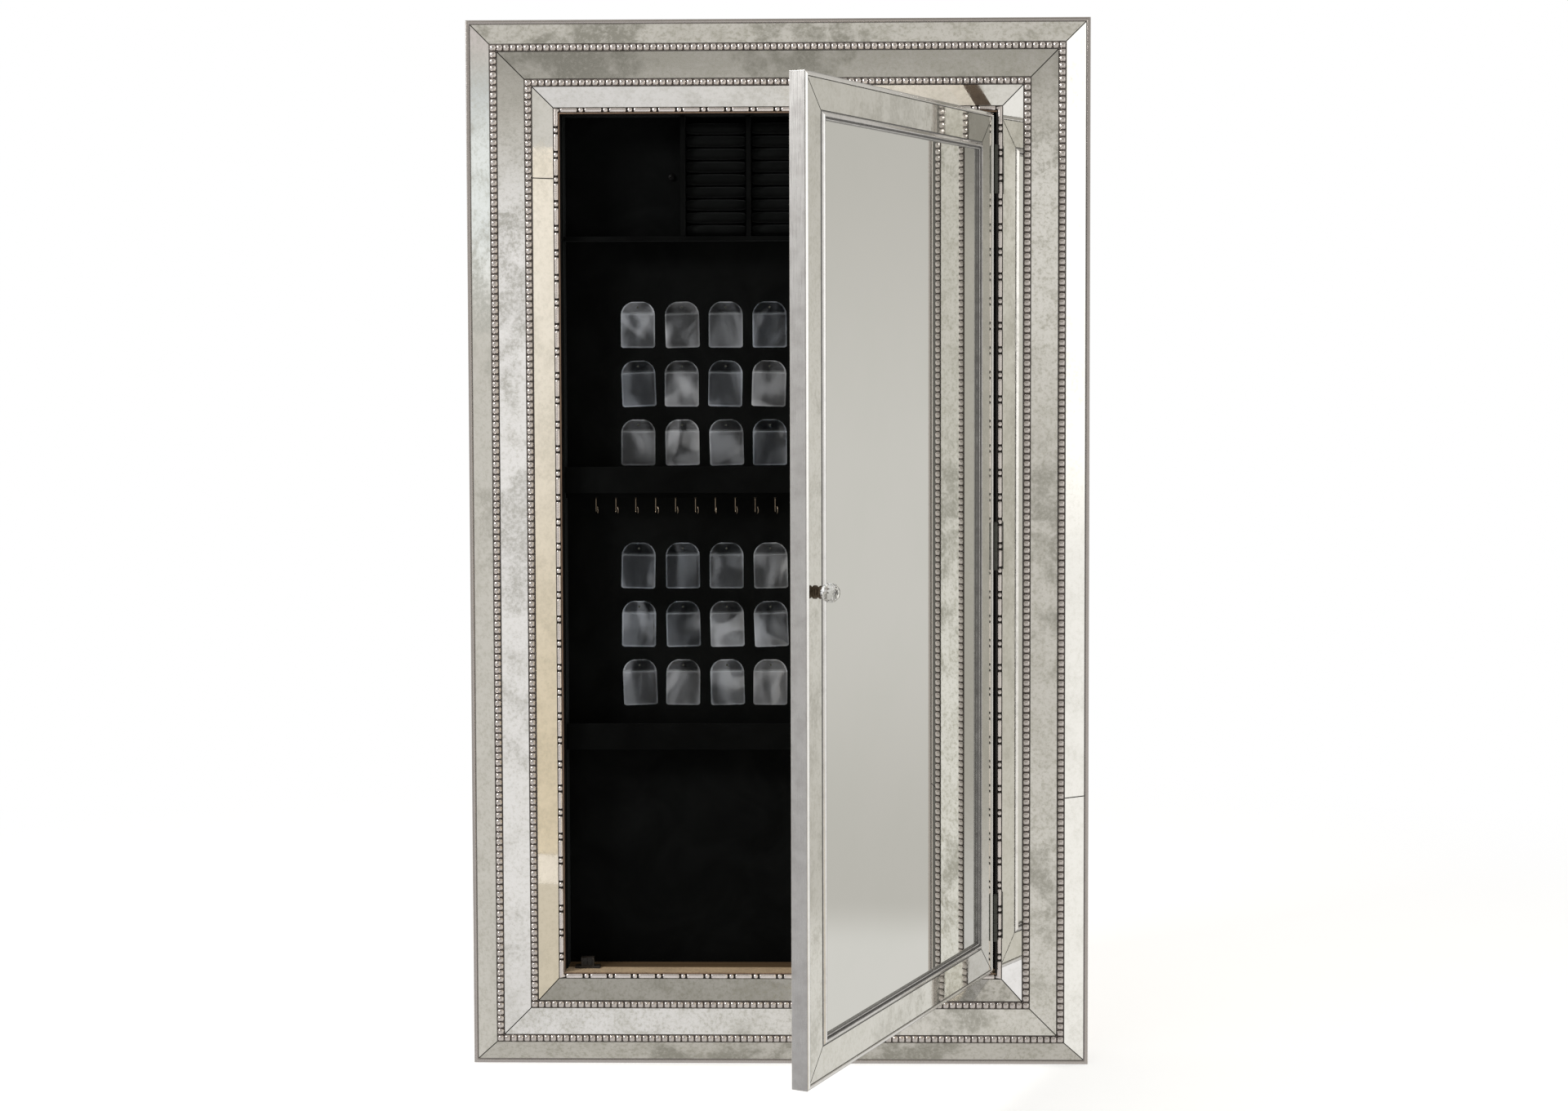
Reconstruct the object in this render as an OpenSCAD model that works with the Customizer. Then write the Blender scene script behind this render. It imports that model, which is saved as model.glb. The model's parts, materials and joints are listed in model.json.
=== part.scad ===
// Full-length mirrored jewelry armoire: a shallow case behind a bevelled mirror frame, with a mirrored
// door on three butt hinges. X runs across the front, Y from front to back and Z up.
// The origin is the centre of the case's underside. Sizes are in millimetres.

/* [Case] */
// Overall width of the frame
case_w = 1168; // [1000:2:1300]
// Overall height of the frame
case_h = 1976; // [1700:2:2100]
// Depth from the flat mirror band to the back
back_y = 115; // [112:1:140]
// Thickness of the outer case boards
case_board = 16; // [12:1:18]
// Thickness of the plywood back
back_board = 11; // [9:1:12]
// Thickness of the boards round the storage space
box_board = 12; // [9:1:12]

/* [Mirror frame] */
// Width of the silvered rim round the outside
rim_w = 8; // [6:1:12]
// Width of the outer mirror band, which slopes back to the rim
outer_band_w = 39.5; // [30:0.5:50]
// Width of the flat mirror band
middle_band_w = 51; // [40:1:60]
// Width of the inner mirror band, which slopes in to the door
inner_band_w = 37.5; // [30:0.5:45]
// How far the outer band falls back
outer_fall = 24; // [22:1:28]
// How far the inner band falls back
inner_fall = 21; // [18:1:22]
// Height of the butt joint in the outer band on the right
outer_joint_z = 514; // [300:1:700]
// Height of the butt joint in the inner band on the left
inner_joint_z = 1680; // [1400:1:1700]
// Thickness of the mirror glass
glass_t = 3; // [2:0.5:4]
// Width of each strip of beading
bead_strip_w = 14; // [12:1:16]
// Radius of the beading's rounded crown
bead_r = 6; // [5:0.5:6]
// Width of the bead-and-reel strip next to the door
reel_strip_w = 9; // [8:0.5:10]
// Width of plain wood that shows round the door
reveal_w = 2.5; // [2:0.5:4]

/* [Door] */
// Angle that the door stands open
door_open = 65; // [0:5:110]
// Thickness of the door
door_t = 28; // [24:1:28]
// Clear gap round the closed door
door_gap = 3; // [3:0.5:4]
// Depth of the closed door's face behind the flat mirror band
door_set_back = 17; // [15:1:18]
// Width of the mirror strips round the door
door_border_w = 49.8; // [40:0.2:60]
// Width of the moulding round the large mirror
moulding_w = 14.5; // [12:0.5:16]
// Height of the moulding above the door's face
moulding_rise = 6; // [4:0.5:8]
// Radius of the crystal knob
knob_r = 16; // [12:1:18]

/* [Hinges] */
// Length of each butt hinge
hinge_l = 89; // [76:1:102]
// Height of the top and bottom hinges above and below the middle one
hinge_spacing = 705; // [600:5:720]
// Radius of the hinge knuckles
knuckle_r = 3.8; // [3.5:0.1:3.8]
// Radius of the hinge pins
pin_r = 1.8; // [1.5:0.1:2]

/* [Storage] */
// Height of the ring section
ring_section_h = 228; // [204:8:244]
// Height of the underside of the upper shelf tray
upper_tray_z = 1087; // [1060:1:1110]
// Height of the underside of the lower shelf tray
lower_tray_z = 597; // [560:1:620]
// Height of the front of a shelf tray
tray_h = 50; // [40:1:60]
// Number of necklace hooks
hook_count = 19; // [9:1:19]
// Distance between necklace hooks
hook_pitch = 38; // [30:1:38]
// Width of a clear pocket
pocket_w = 65; // [50:1:68]
// Height of a clear pocket
pocket_h = 88; // [70:1:92]
// Distance between columns of pockets
pocket_pitch_x = 84; // [72:1:88]
// Distance between rows of pockets
pocket_pitch_z = 112.5; // [100:0.5:114]

/* [Wall fixing] */
// Distance between the two wall screw holes
anchor_spacing = 406.4; // [380:0.4:420]
// Radius of the wall screw holes
anchor_r = 3.25; // [2.5:0.25:4]

/* [Hidden] */
$fn = 48;

// Insets of the frame's bands from its outer edge
outer_band_s = rim_w;
outer_bead_s = outer_band_s + outer_band_w;
middle_band_s = outer_bead_s + bead_strip_w;
inner_bead_s = middle_band_s + middle_band_w;
inner_band_s = inner_bead_s + bead_strip_w;
reel_s = inner_band_s + inner_band_w;
reveal_s = reel_s + reel_strip_w;
opening_s = reveal_s + reveal_w;
opening_w = case_w - 2 * opening_s;
opening_h = case_h - 2 * opening_s;
opening_top = case_h - opening_s;

// Depths behind the flat mirror band
rim_y = outer_fall - 1;
rim_chamfer = 1;
frame_back_y = 60;
reveal_y = 20;
frame_board = 14;
bead_sink = 1;
outer_glass_y = glass_t / cos(atan(outer_fall / outer_band_w));
inner_glass_y = glass_t / cos(atan(inner_fall / inner_band_w));
strip_back_y = inner_fall + inner_glass_y;
liner_t = 4;
panel_y = back_y - back_board;
liner_y = panel_y - liner_t;
block_leg = 120;
block_t = 40;
side_liner_t = 2;
side_liner_y = 48;

// The case's underside reaches from the rim's face to the back
centre_y = (rim_y + back_y) / 2;

// Hairline joints between boards of one tray and at mitres
seam = 0.1;
butt_gap = 0.4;
tray_front_y = 50;
tray_board = 4;
inside_w = opening_w - 2 * side_liner_t - 2 * seam;

// Ring section
ring_rail_t = 8;
ring_rail_z = opening_top - ring_section_h - ring_rail_t;
divider_t = 8;
divider_x = [-180, -56, 56, 180];
roll_count = 9;
roll_headroom = 12;
roll_pitch = (ring_section_h - roll_headroom) / roll_count;
roll_y = 58;

// Necklace hooks
rail_h = 10;
rail_y = 70;
rail_depth = 16;
hook_centre_x = -8;
hook_r = 8;
hook_wire_r = 1.2;
hook_shank_r = 1.4;
hook_drop = 32;
hook_turn = 18;
hook_collar_r = 3;

// Clear pockets
pocket_columns = 7;
pocket_rows = 3;
pocket_centre_x = -18;
upper_pocket_z = 1137.5;
lower_pocket_z = 676;
pocket_t = 1.2;
pocket_arch_r = 26;
pocket_corner_r = 4;
pocket_pin_r = 2;
pocket_pin_t = 1.5;
pocket_pin_drop = 11;

// Magnetic catch
catch_x = -369;
catch_base = [48, 16, 4.5];
catch_block = [25, 14, 21];
catch_gap = 1.4;
pole = [7.5, 2, 14];
strike = [38, 1, 16];

// Door, drawn closed, with its face at door_set_back
door_w = opening_w - 2 * door_gap;
door_h = opening_h - 2 * door_gap;
door_z = opening_s + door_gap;
door_back_y = door_set_back + door_t;
door_rim_w = 8;
moulding_s = door_rim_w + door_border_w;
moulding_lip_w = 4;
moulding_lip_rise = 1.5;
stile_w = moulding_s + 8.2;
pane_y = door_set_back + glass_t + 1;
core_t = 14;
inner_panel_t = 5;

// Knob
knob_x = -door_w / 2 + door_rim_w + door_border_w / 2;
knob_z = door_z + door_h / 2 - 13;
knob_stand = 27;
rosette_r = 11;
rosette_t = 3;
neck_r = 8;

// Hinges
pin_x = door_w / 2 + door_gap / 2;
pin_y = door_set_back - 4;
leaf_t = door_gap / 2 - 0.2;
leaf_y = pin_y + knuckle_r + 0.6;
pin_clearance = 0.05;
knuckles = 5;
knuckle_gap = 0.4;
knuckle_l = hinge_l / knuckles;
hinge_z = [for (k = [-1:1]) door_z + door_h / 2 + k * hinge_spacing];
screw_z = [-30, 0, 30];
screw_head_r = 3.4;
screw_r = 1.7;
screw_l = 16;
screw_y = (leaf_y + door_back_y) / 2 + 2;
finial_r = 2.8;
finial_h = 2;

// ---- Ways to place and repeat shapes ----

// Moves a shape from depths behind the flat mirror band to the model's frame
module in_case() {
    translate([0, -centre_y, 0]) children();
}

// The same for a shape on the door, which turns about its hinge pins
module on_door() {
    in_case()
        translate([pin_x, pin_y, 0])
        rotate([0, 0, door_open])
        translate([-pin_x, -pin_y, 0])
        children();
}

// A board from one corner to another
module board(low, high) {
    translate(low) cube(high - low);
}

// A profile of inset and depth, run up the left of a w by h frame and mitred at both ends
module mitred_left(w, h, reach) {
    intersection() {
        translate([-w / 2, 0, 0]) linear_extrude(h) children();
        rotate([90, 0, 0])
            linear_extrude(2 * case_w, center = true)
            polygon([
                [-w / 2, seam], [-w / 2 + reach, reach + seam], [-w / 2 + reach, h - reach - seam],
                [-w / 2, h - seam]
            ]);
    }
}

// The same profile along the bottom
module mitred_bottom(w, reach) {
    intersection() {
        rotate([0, -90, 0]) linear_extrude(w, center = true) children();
        rotate([90, 0, 0])
            linear_extrude(2 * case_w, center = true)
            polygon([[-w / 2, 0], [w / 2, 0], [w / 2 - reach, reach], [-w / 2 + reach, reach]]);
    }
}

module mitred_right(w, h, reach) {
    mirror([1, 0, 0]) mitred_left(w, h, reach) children();
}

module mitred_top(w, h, reach) {
    translate([0, 0, h]) mirror([0, 0, 1]) mitred_bottom(w, reach) children();
}

module mitred_four(w, h, reach) {
    mitred_left(w, h, reach) children();
    mitred_right(w, h, reach) children();
    mitred_bottom(w, reach) children();
    mitred_top(w, h, reach) children();
}

module frame_left() {
    in_case() mitred_left(case_w, case_h, opening_s + 1) children();
}

module frame_right() {
    in_case() mitred_right(case_w, case_h, opening_s + 1) children();
}

module frame_top() {
    in_case() mitred_top(case_w, case_h, opening_s + 1) children();
}

module frame_bottom() {
    in_case() mitred_bottom(case_w, opening_s + 1) children();
}

// A long strip made in two lengths, which meet at a height
module jointed(height) {
    difference() {
        children();
        board([-case_w, -case_w, height - butt_gap / 2], [case_w, case_w, height + butt_gap / 2]);
    }
}

module frame_four() {
    in_case() mitred_four(case_w, case_h, opening_s + 1) children();
}

// Places a door profile, whose depth is measured from the door's face
module door_place() {
    on_door() translate([0, door_set_back, door_z]) children();
}

// ---- Profiles: inset from the outer edge against depth ----

module rim_profile() {
    polygon([
        [0, rim_y + rim_chamfer], [rim_chamfer, rim_y], [rim_w - rim_chamfer, rim_y],
        [rim_w, rim_y + rim_chamfer], [rim_w, frame_back_y], [0, frame_back_y]
    ]);
}

module face_frame_profile() {
    polygon([
        [outer_band_s, frame_back_y], [outer_band_s, outer_fall + outer_glass_y],
        [outer_bead_s, outer_glass_y], [outer_bead_s, glass_t], [inner_band_s, glass_t],
        [inner_band_s, inner_glass_y], [reel_s, strip_back_y], [reveal_s, strip_back_y],
        [reveal_s, reveal_y], [opening_s, reveal_y], [opening_s, frame_back_y],
        [opening_s - box_board, frame_back_y], [opening_s - box_board, strip_back_y + frame_board],
        [inner_band_s, glass_t + frame_board], [outer_bead_s + frame_board / 2, glass_t + frame_board],
        [outer_band_s + frame_board, frame_back_y - frame_board / 2],
        [outer_band_s + frame_board, frame_back_y]
    ]);
}

module outer_mirror_profile() {
    polygon([
        [outer_band_s, outer_fall], [outer_bead_s, 0], [outer_bead_s, outer_glass_y],
        [outer_band_s, outer_fall + outer_glass_y]
    ]);
}

module middle_mirror_profile() {
    translate([middle_band_s, 0]) square([middle_band_w, glass_t]);
}

module inner_mirror_profile() {
    polygon([
        [inner_band_s, 0], [reel_s, inner_fall], [reel_s, inner_fall + inner_glass_y],
        [inner_band_s, inner_glass_y]
    ]);
}

// A flat strip with a rounded crown along it
module crowned_profile(inset, width, crown_r, crown_y, face_y, rear_y) {
    translate([inset, face_y]) square([width, rear_y - face_y]);
    intersection() {
        translate([inset + width / 2, crown_y]) circle(crown_r);
        translate([inset, face_y - width]) square([width, width]);
    }
}

module bead_profile(inset) {
    crowned_profile(inset, bead_strip_w, bead_r, bead_sink, 0, glass_t);
}

module reel_profile() {
    crowned_profile(
        reel_s, reel_strip_w, reel_strip_w / 2, inner_fall + 0.5, inner_fall + 0.5, strip_back_y);
}

// The outer lip of a stile stands level with the glass beside it
module stile_profile() {
    polygon([
        [0, 0], [door_rim_w, 0], [door_rim_w, glass_t], [moulding_s, glass_t],
        [stile_w, glass_t], [stile_w, door_t], [0, door_t]
    ]);
}

module door_border_profile() {
    translate([door_rim_w, 0]) square([door_border_w, glass_t]);
}

// A bold half round outside and a thin lip over the edge of the large mirror
module moulding_profile() {
    bold_w = moulding_w - moulding_lip_w;
    translate([moulding_s, 0]) square([moulding_w, glass_t]);
    translate([moulding_s, -moulding_lip_rise]) square([moulding_w, moulding_lip_rise]);
    intersection() {
        translate([moulding_s + bold_w / 2, 0]) circle(moulding_rise);
        translate([moulding_s, -moulding_rise]) square([bold_w, moulding_rise]);
    }
}

// ---- Case ----

module case_side(side) {
    color("tan") in_case()
        board([side * case_w / 2 - (side > 0 ? case_board : 0), frame_back_y, 0],
              [side * case_w / 2 + (side > 0 ? 0 : case_board), back_y, case_h]);
}

module case_end(low_z) {
    color("tan") in_case()
        board([-case_w / 2 + case_board, frame_back_y, low_z],
              [case_w / 2 - case_board, back_y, low_z + case_board]);
}

module case_side_left() { case_side(-1); }

module case_side_right() { case_side(1); }

module case_top() { case_end(case_h - case_board); }

module case_bottom() { case_end(0); }

// The two wall screw holes, through whatever is drawn with them
module anchor_holes() {
    for (side = [-1, 1])
        translate([side * anchor_spacing / 2, liner_y - 5, ring_rail_z + ring_rail_t + ring_section_h / 2])
        rotate([-90, 0, 0])
        cylinder(h = back_y - liner_y + 10, r = anchor_r);
}

module back_panel() {
    color("burlywood") in_case() difference() {
        board([-case_w / 2 + case_board, panel_y, case_board],
              [case_w / 2 - case_board, back_y, case_h - case_board]);
        anchor_holes();
    }
}

module box_side(side) {
    inner = opening_w / 2;
    color("peru") in_case()
        board([side > 0 ? inner : -inner - box_board, frame_back_y, opening_s - box_board],
              [side > 0 ? inner + box_board : -inner, panel_y, opening_top + box_board]);
}

module box_end(low_z) {
    color("burlywood") in_case()
        board([-opening_w / 2, frame_back_y, low_z], [opening_w / 2, panel_y, low_z + box_board]);
}

module box_side_left() { box_side(-1); }

module box_side_right() { box_side(1); }

module box_top() { box_end(opening_top); }

module box_bottom() { box_end(opening_s - box_board); }

// Glued blocks that square up the corners of the closed space round the box
module corner_blocks() {
    color("burlywood") in_case()
        for (side = [0, 1], end = [0, 1])
            translate([0, 0, case_h / 2])
            mirror([0, 0, end])
            mirror([side, 0, 0])
            translate([case_board - case_w / 2, panel_y, case_board - case_h / 2])
            rotate([90, 0, 0])
            linear_extrude(block_t)
            polygon([[0, 0], [block_leg, 0], [0, block_leg]]);
}

// ---- Mirror frame ----

module face_frame_left() { color("sienna") frame_left() face_frame_profile(); }

module face_frame_right() { color("sienna") frame_right() face_frame_profile(); }

module face_frame_top() { color("sienna") frame_top() face_frame_profile(); }

module face_frame_bottom() { color("sienna") frame_bottom() face_frame_profile(); }

module outer_rim() { color("silver") frame_four() rim_profile(); }

module outer_mirror_left() { color("lightgray") frame_left() outer_mirror_profile(); }

module outer_mirror_right() {
    color("lightgray") jointed(outer_joint_z) frame_right() outer_mirror_profile();
}

module outer_mirror_top() { color("lightgray") frame_top() outer_mirror_profile(); }

module outer_mirror_bottom() { color("lightgray") frame_bottom() outer_mirror_profile(); }

module middle_mirror_left() { color("gainsboro") frame_left() middle_mirror_profile(); }

module middle_mirror_right() { color("gainsboro") frame_right() middle_mirror_profile(); }

module middle_mirror_top() { color("gainsboro") frame_top() middle_mirror_profile(); }

module middle_mirror_bottom() { color("gainsboro") frame_bottom() middle_mirror_profile(); }

module inner_mirror_left() {
    color("lightgray") jointed(inner_joint_z) frame_left() inner_mirror_profile();
}

module inner_mirror_right() { color("lightgray") frame_right() inner_mirror_profile(); }

module inner_mirror_top() { color("lightgray") frame_top() inner_mirror_profile(); }

module inner_mirror_bottom() { color("lightgray") frame_bottom() inner_mirror_profile(); }

module outer_bead_strip() { color("darkkhaki") frame_four() bead_profile(outer_bead_s); }

module inner_bead_strip() { color("darkkhaki") frame_four() bead_profile(inner_bead_s); }

module bead_and_reel_trim() { color("silver") frame_four() reel_profile(); }

// ---- Storage ----

module back_liner() {
    color([0.04, 0.045, 0.045]) in_case() difference() {
        board([-opening_w / 2, liner_y, opening_s], [opening_w / 2, panel_y, opening_top]);
        anchor_holes();
    }
}

module side_liners() {
    color([0.04, 0.045, 0.045]) in_case()
        for (side = [0, 1])
            mirror([side, 0, 0])
            board([-opening_w / 2, side_liner_y, opening_s],
                  [-opening_w / 2 + side_liner_t, liner_y, opening_top]);
}

module ring_tray() {
    divider_low = ring_rail_z + ring_rail_t + seam;
    color([0.06, 0.06, 0.06]) in_case() {
        board([-inside_w / 2, tray_front_y, ring_rail_z],
              [inside_w / 2, liner_y, ring_rail_z + ring_rail_t]);
        for (x = divider_x)
            board([x - divider_t / 2, tray_front_y, divider_low],
                  [x + divider_t / 2, liner_y, opening_top]);
    }
}

module ring_rolls() {
    low = ring_rail_z + ring_rail_t;
    color([0.05, 0.05, 0.055]) in_case()
        for (k = [0:len(divider_x) - 2])
            board([divider_x[k] + divider_t / 2 + seam, roll_y, low],
                  [divider_x[k + 1] - divider_t / 2 - seam, liner_y, low + roll_count * roll_pitch]);
}

module shelf_tray(low_z) {
    color([0.06, 0.06, 0.06]) in_case() {
        board([-inside_w / 2, tray_front_y, low_z],
              [inside_w / 2, tray_front_y + tray_board, low_z + tray_h]);
        board([-inside_w / 2, tray_front_y + tray_board + seam, low_z],
              [inside_w / 2, liner_y, low_z + tray_board]);
    }
}

module upper_shelf_tray() { shelf_tray(upper_tray_z); }

module lower_shelf_tray() { shelf_tray(lower_tray_z); }

module necklace_rail() {
    color([0.06, 0.06, 0.06]) in_case() difference() {
        board([-inside_w / 2, rail_y, upper_tray_z - rail_h],
              [inside_w / 2, rail_y + rail_depth, upper_tray_z]);
        at_hooks() translate([0, 0, -rail_h / 2]) cylinder(h = rail_h, r = hook_shank_r);
    }
}

module at_hooks() {
    for (k = [0:hook_count - 1])
        translate([hook_centre_x + (k - (hook_count - 1) / 2) * hook_pitch,
                   rail_y + rail_depth / 2, upper_tray_z - rail_h])
        children();
}

// A screwed shank, a collar under the rail and a hook that opens forward
module cup_hook() {
    bend_z = -(hook_drop - hook_r - hook_wire_r);
    overlap = 0.6;
    translate([0, 0, bend_z - overlap])
        cylinder(h = rail_h / 2 - bend_z + overlap, r = hook_shank_r, $fn = 16);
    translate([0, 0, -1.5]) cylinder(h = 1.5, r = hook_collar_r, $fn = 20);
    rotate([0, 0, hook_turn])
        translate([0, -hook_r, bend_z])
        rotate([90, 0, -90])
        rotate([0, 0, 180])
        rotate_extrude(angle = 200, $fn = 32)
        translate([hook_r, 0]) circle(hook_wire_r, $fn = 16);
}

module necklace_hooks() {
    color("darkgoldenrod") in_case() at_hooks() cup_hook();
}

// Outline of one pocket, flat at its foot and arched at its head
module pocket_outline() {
    side = pocket_w / 2;
    head = pocket_h - pocket_arch_r;
    translate([-side, pocket_corner_r]) square([pocket_w, head - pocket_corner_r]);
    translate([-side + pocket_corner_r, 0]) square([pocket_w - 2 * pocket_corner_r, head]);
    translate([-side + pocket_arch_r, head - 1]) square([pocket_w - 2 * pocket_arch_r, pocket_arch_r + 1]);
    for (m = [-1, 1]) {
        translate([m * (side - pocket_corner_r), pocket_corner_r]) circle(pocket_corner_r);
        translate([m * (side - pocket_arch_r), head]) circle(pocket_arch_r);
    }
}

module at_pockets() {
    for (low_z = [upper_pocket_z, lower_pocket_z])
        for (row = [0:pocket_rows - 1])
            for (column = [0:pocket_columns - 1])
                translate([pocket_centre_x + (column - (pocket_columns - 1) / 2) * pocket_pitch_x,
                           liner_y, low_z + row * pocket_pitch_z])
                rotate([90, 0, 0])
                children();
}

module clear_pockets() {
    color([0.55, 0.56, 0.56, 0.6]) in_case() at_pockets() linear_extrude(pocket_t) pocket_outline();
}

module pocket_pins() {
    color("gray") in_case() at_pockets()
        translate([0, pocket_h - pocket_pin_drop, pocket_t])
        cylinder(h = pocket_pin_t, r = pocket_pin_r, $fn = 16);
}

module catch_body() {
    catch_y = door_back_y + catch_gap;
    color("dimgray") in_case() {
        board([catch_x - catch_base[0] / 2, catch_y + pole[1], opening_s],
              [catch_x + catch_base[0] / 2, catch_y + pole[1] + catch_base[1], opening_s + catch_base[2]]);
        board([catch_x - catch_block[0] / 2, catch_y + pole[1], opening_s],
              [catch_x + catch_block[0] / 2, catch_y + pole[1] + catch_block[1], opening_s + catch_block[2]]);
    }
}

module catch_poles() {
    catch_y = door_back_y + catch_gap;
    top_z = opening_s + catch_block[2] - 0.5;
    color("silver") in_case()
        for (m = [-1, 1])
            translate([catch_x + m * (pole[0] / 2 + 0.8) - pole[0] / 2, catch_y, top_z - pole[2]])
            cube(pole);
}

// ---- Hinges ----

module knuckle(k) {
    translate([pin_x, pin_y, -hinge_l / 2 + k * knuckle_l + knuckle_gap / 2])
        cylinder(h = knuckle_l - knuckle_gap, r = knuckle_r);
}

// A leaf and its knuckles: side is 1 for the case's half and -1 for the door's
module hinge_leaf(side) {
    face = pin_x + side * 0.2;
    near_x = min(face, face + side * leaf_t);
    first = side > 0 ? 0 : 1;
    difference() {
        union() {
            board([near_x, leaf_y, -hinge_l / 2], [near_x + leaf_t, door_back_y - 1, hinge_l / 2]);
            for (k = [first:2:knuckles - 1]) {
                knuckle(k);
                board([near_x, pin_y, -hinge_l / 2 + k * knuckle_l + knuckle_gap / 2],
                      [near_x + leaf_t, leaf_y + 1, -hinge_l / 2 + (k + 1) * knuckle_l - knuckle_gap / 2]);
            }
        }
        translate([pin_x, pin_y, -hinge_l]) cylinder(h = 2 * hinge_l, r = pin_r + pin_clearance);
        hinge_screw_cuts(side);
    }
}

module hinge_screw_cuts(side) {
    for (z = screw_z)
        translate([pin_x + side * 0.2, screw_y, z])
        rotate([0, side * 90, 0])
        translate([0, 0, -0.01])
        cylinder(h = leaf_t + 0.02, r1 = screw_head_r, r2 = screw_r + 0.1);
}

// Countersunk screws, driven into the wood behind the leaf
module hinge_screws(side) {
    for (z = screw_z)
        translate([pin_x + side * 0.2, screw_y, z])
        rotate([0, side * 90, 0]) {
            cylinder(h = leaf_t, r1 = screw_head_r - 0.1, r2 = screw_r);
            cylinder(h = screw_l, r = screw_r);
        }
}

module at_hinges() {
    for (z = hinge_z) translate([0, 0, z]) children();
}

module hinge_leaves_case() {
    color("darkgray") in_case() at_hinges() hinge_leaf(1);
}

module hinge_leaves_door() {
    color("darkgray") on_door() at_hinges() hinge_leaf(-1);
}

module hinge_pins() {
    color("gray") in_case() at_hinges() translate([pin_x, pin_y, -hinge_l / 2]) {
        cylinder(h = hinge_l, r = pin_r);
        translate([0, 0, hinge_l - knuckle_gap / 2]) cylinder(h = finial_h, r = finial_r);
    }
}

module hinge_screws_case() {
    color("silver") in_case() at_hinges() hinge_screws(1);
}

module hinge_screws_door() {
    color("silver") on_door() at_hinges() hinge_screws(-1);
}

// ---- Door ----

module door_stile_left() {
    color("silver") door_place() mitred_left(door_w, door_h, stile_w + 1) stile_profile();
}

module door_stile_right() {
    color("silver") door_place() mitred_right(door_w, door_h, stile_w + 1) stile_profile();
}

module door_rail_top() {
    color("silver") door_place() mitred_top(door_w, door_h, stile_w + 1) stile_profile();
}

module door_rail_bottom() {
    color("silver") door_place() mitred_bottom(door_w, stile_w + 1) stile_profile();
}

module door_border_sides() {
    color("lightgray") door_place() {
        mitred_left(door_w, door_h, stile_w) door_border_profile();
        mitred_right(door_w, door_h, stile_w) door_border_profile();
    }
}

module door_border_ends() {
    color("lightgray") door_place() {
        mitred_top(door_w, door_h, stile_w) door_border_profile();
        mitred_bottom(door_w, stile_w) door_border_profile();
    }
}

module door_moulding() {
    color("silver") door_place() mitred_four(door_w, door_h, stile_w + moulding_w) moulding_profile();
}

// A panel that fills the door frame, between two depths
module door_panel(low_y, high_y) {
    side = door_w / 2 - stile_w;
    board([-side, low_y, door_z + stile_w], [side, high_y, door_z + door_h - stile_w]);
}

module door_mirror() { color("whitesmoke") on_door() door_panel(pane_y, pane_y + glass_t); }

module door_core() { color("burlywood") on_door() door_panel(pane_y + glass_t, pane_y + glass_t + core_t); }

module door_inner_panel() {
    core_back = pane_y + glass_t + core_t;
    color("wheat") on_door() door_panel(core_back, core_back + inner_panel_t);
}

// Turns a shape that rises along Z to stand out of the door's face at the knob
module at_knob() {
    on_door() translate([knob_x, door_set_back, knob_z]) rotate([90, 0, 0]) children();
}

module knob_base() {
    color("dimgray") at_knob() {
        cylinder(h = rosette_t, r = rosette_r);
        cylinder(h = knob_stand - knob_r + 1, r = neck_r);
    }
}

// A cut crystal: a lathe shape with flat facets and a level crown
module knob_crystal() {
    foot_z = knob_stand - knob_r + 1;
    color([0.9, 0.93, 0.95, 0.6]) at_knob()
        rotate_extrude($fn = 12)
        polygon([
            [0, foot_z], [knob_r * 0.45, foot_z], [knob_r * 0.93, knob_stand - knob_r * 0.4],
            [knob_r, knob_stand], [knob_r * 0.9, knob_stand + knob_r * 0.45],
            [knob_r * 0.5, knob_stand + knob_r * 0.9], [0, knob_stand + knob_r * 0.9]
        ]);
}

module strike_plate() {
    top_z = opening_s + catch_block[2] + 0.5;
    color("silver") on_door()
        board([catch_x - strike[0] / 2, door_back_y, top_z - strike[2]],
              [catch_x + strike[0] / 2, door_back_y + strike[1], top_z]);
}

case_side_left();
case_side_right();
case_top();
case_bottom();
back_panel();
box_side_left();
box_side_right();
box_top();
box_bottom();
corner_blocks();
face_frame_left();
face_frame_right();
face_frame_top();
face_frame_bottom();
outer_rim();
outer_mirror_left();
outer_mirror_right();
outer_mirror_top();
outer_mirror_bottom();
middle_mirror_left();
middle_mirror_right();
middle_mirror_top();
middle_mirror_bottom();
inner_mirror_left();
inner_mirror_right();
inner_mirror_top();
inner_mirror_bottom();
outer_bead_strip();
inner_bead_strip();
bead_and_reel_trim();
back_liner();
side_liners();
ring_tray();
ring_rolls();
upper_shelf_tray();
lower_shelf_tray();
necklace_rail();
necklace_hooks();
clear_pockets();
pocket_pins();
catch_body();
catch_poles();
hinge_leaves_case();
hinge_pins();
hinge_screws_case();
door_stile_left();
door_stile_right();
door_rail_top();
door_rail_bottom();
door_border_sides();
door_border_ends();
door_moulding();
door_mirror();
door_core();
door_inner_panel();
knob_base();
knob_crystal();
strike_plate();
hinge_leaves_door();
hinge_screws_door();
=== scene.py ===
"""Looks of the mirrored jewelry armoire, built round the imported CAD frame.

Lengths are in metres, in the CAD's own frame. The door stands open at rest, so its pieces
are built closed, where they are square to the axes, and then turned about the hinge pins.
"""

import json
import math
import random

import bpy
import numpy as np
from mathutils import Matrix, Vector


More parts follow.
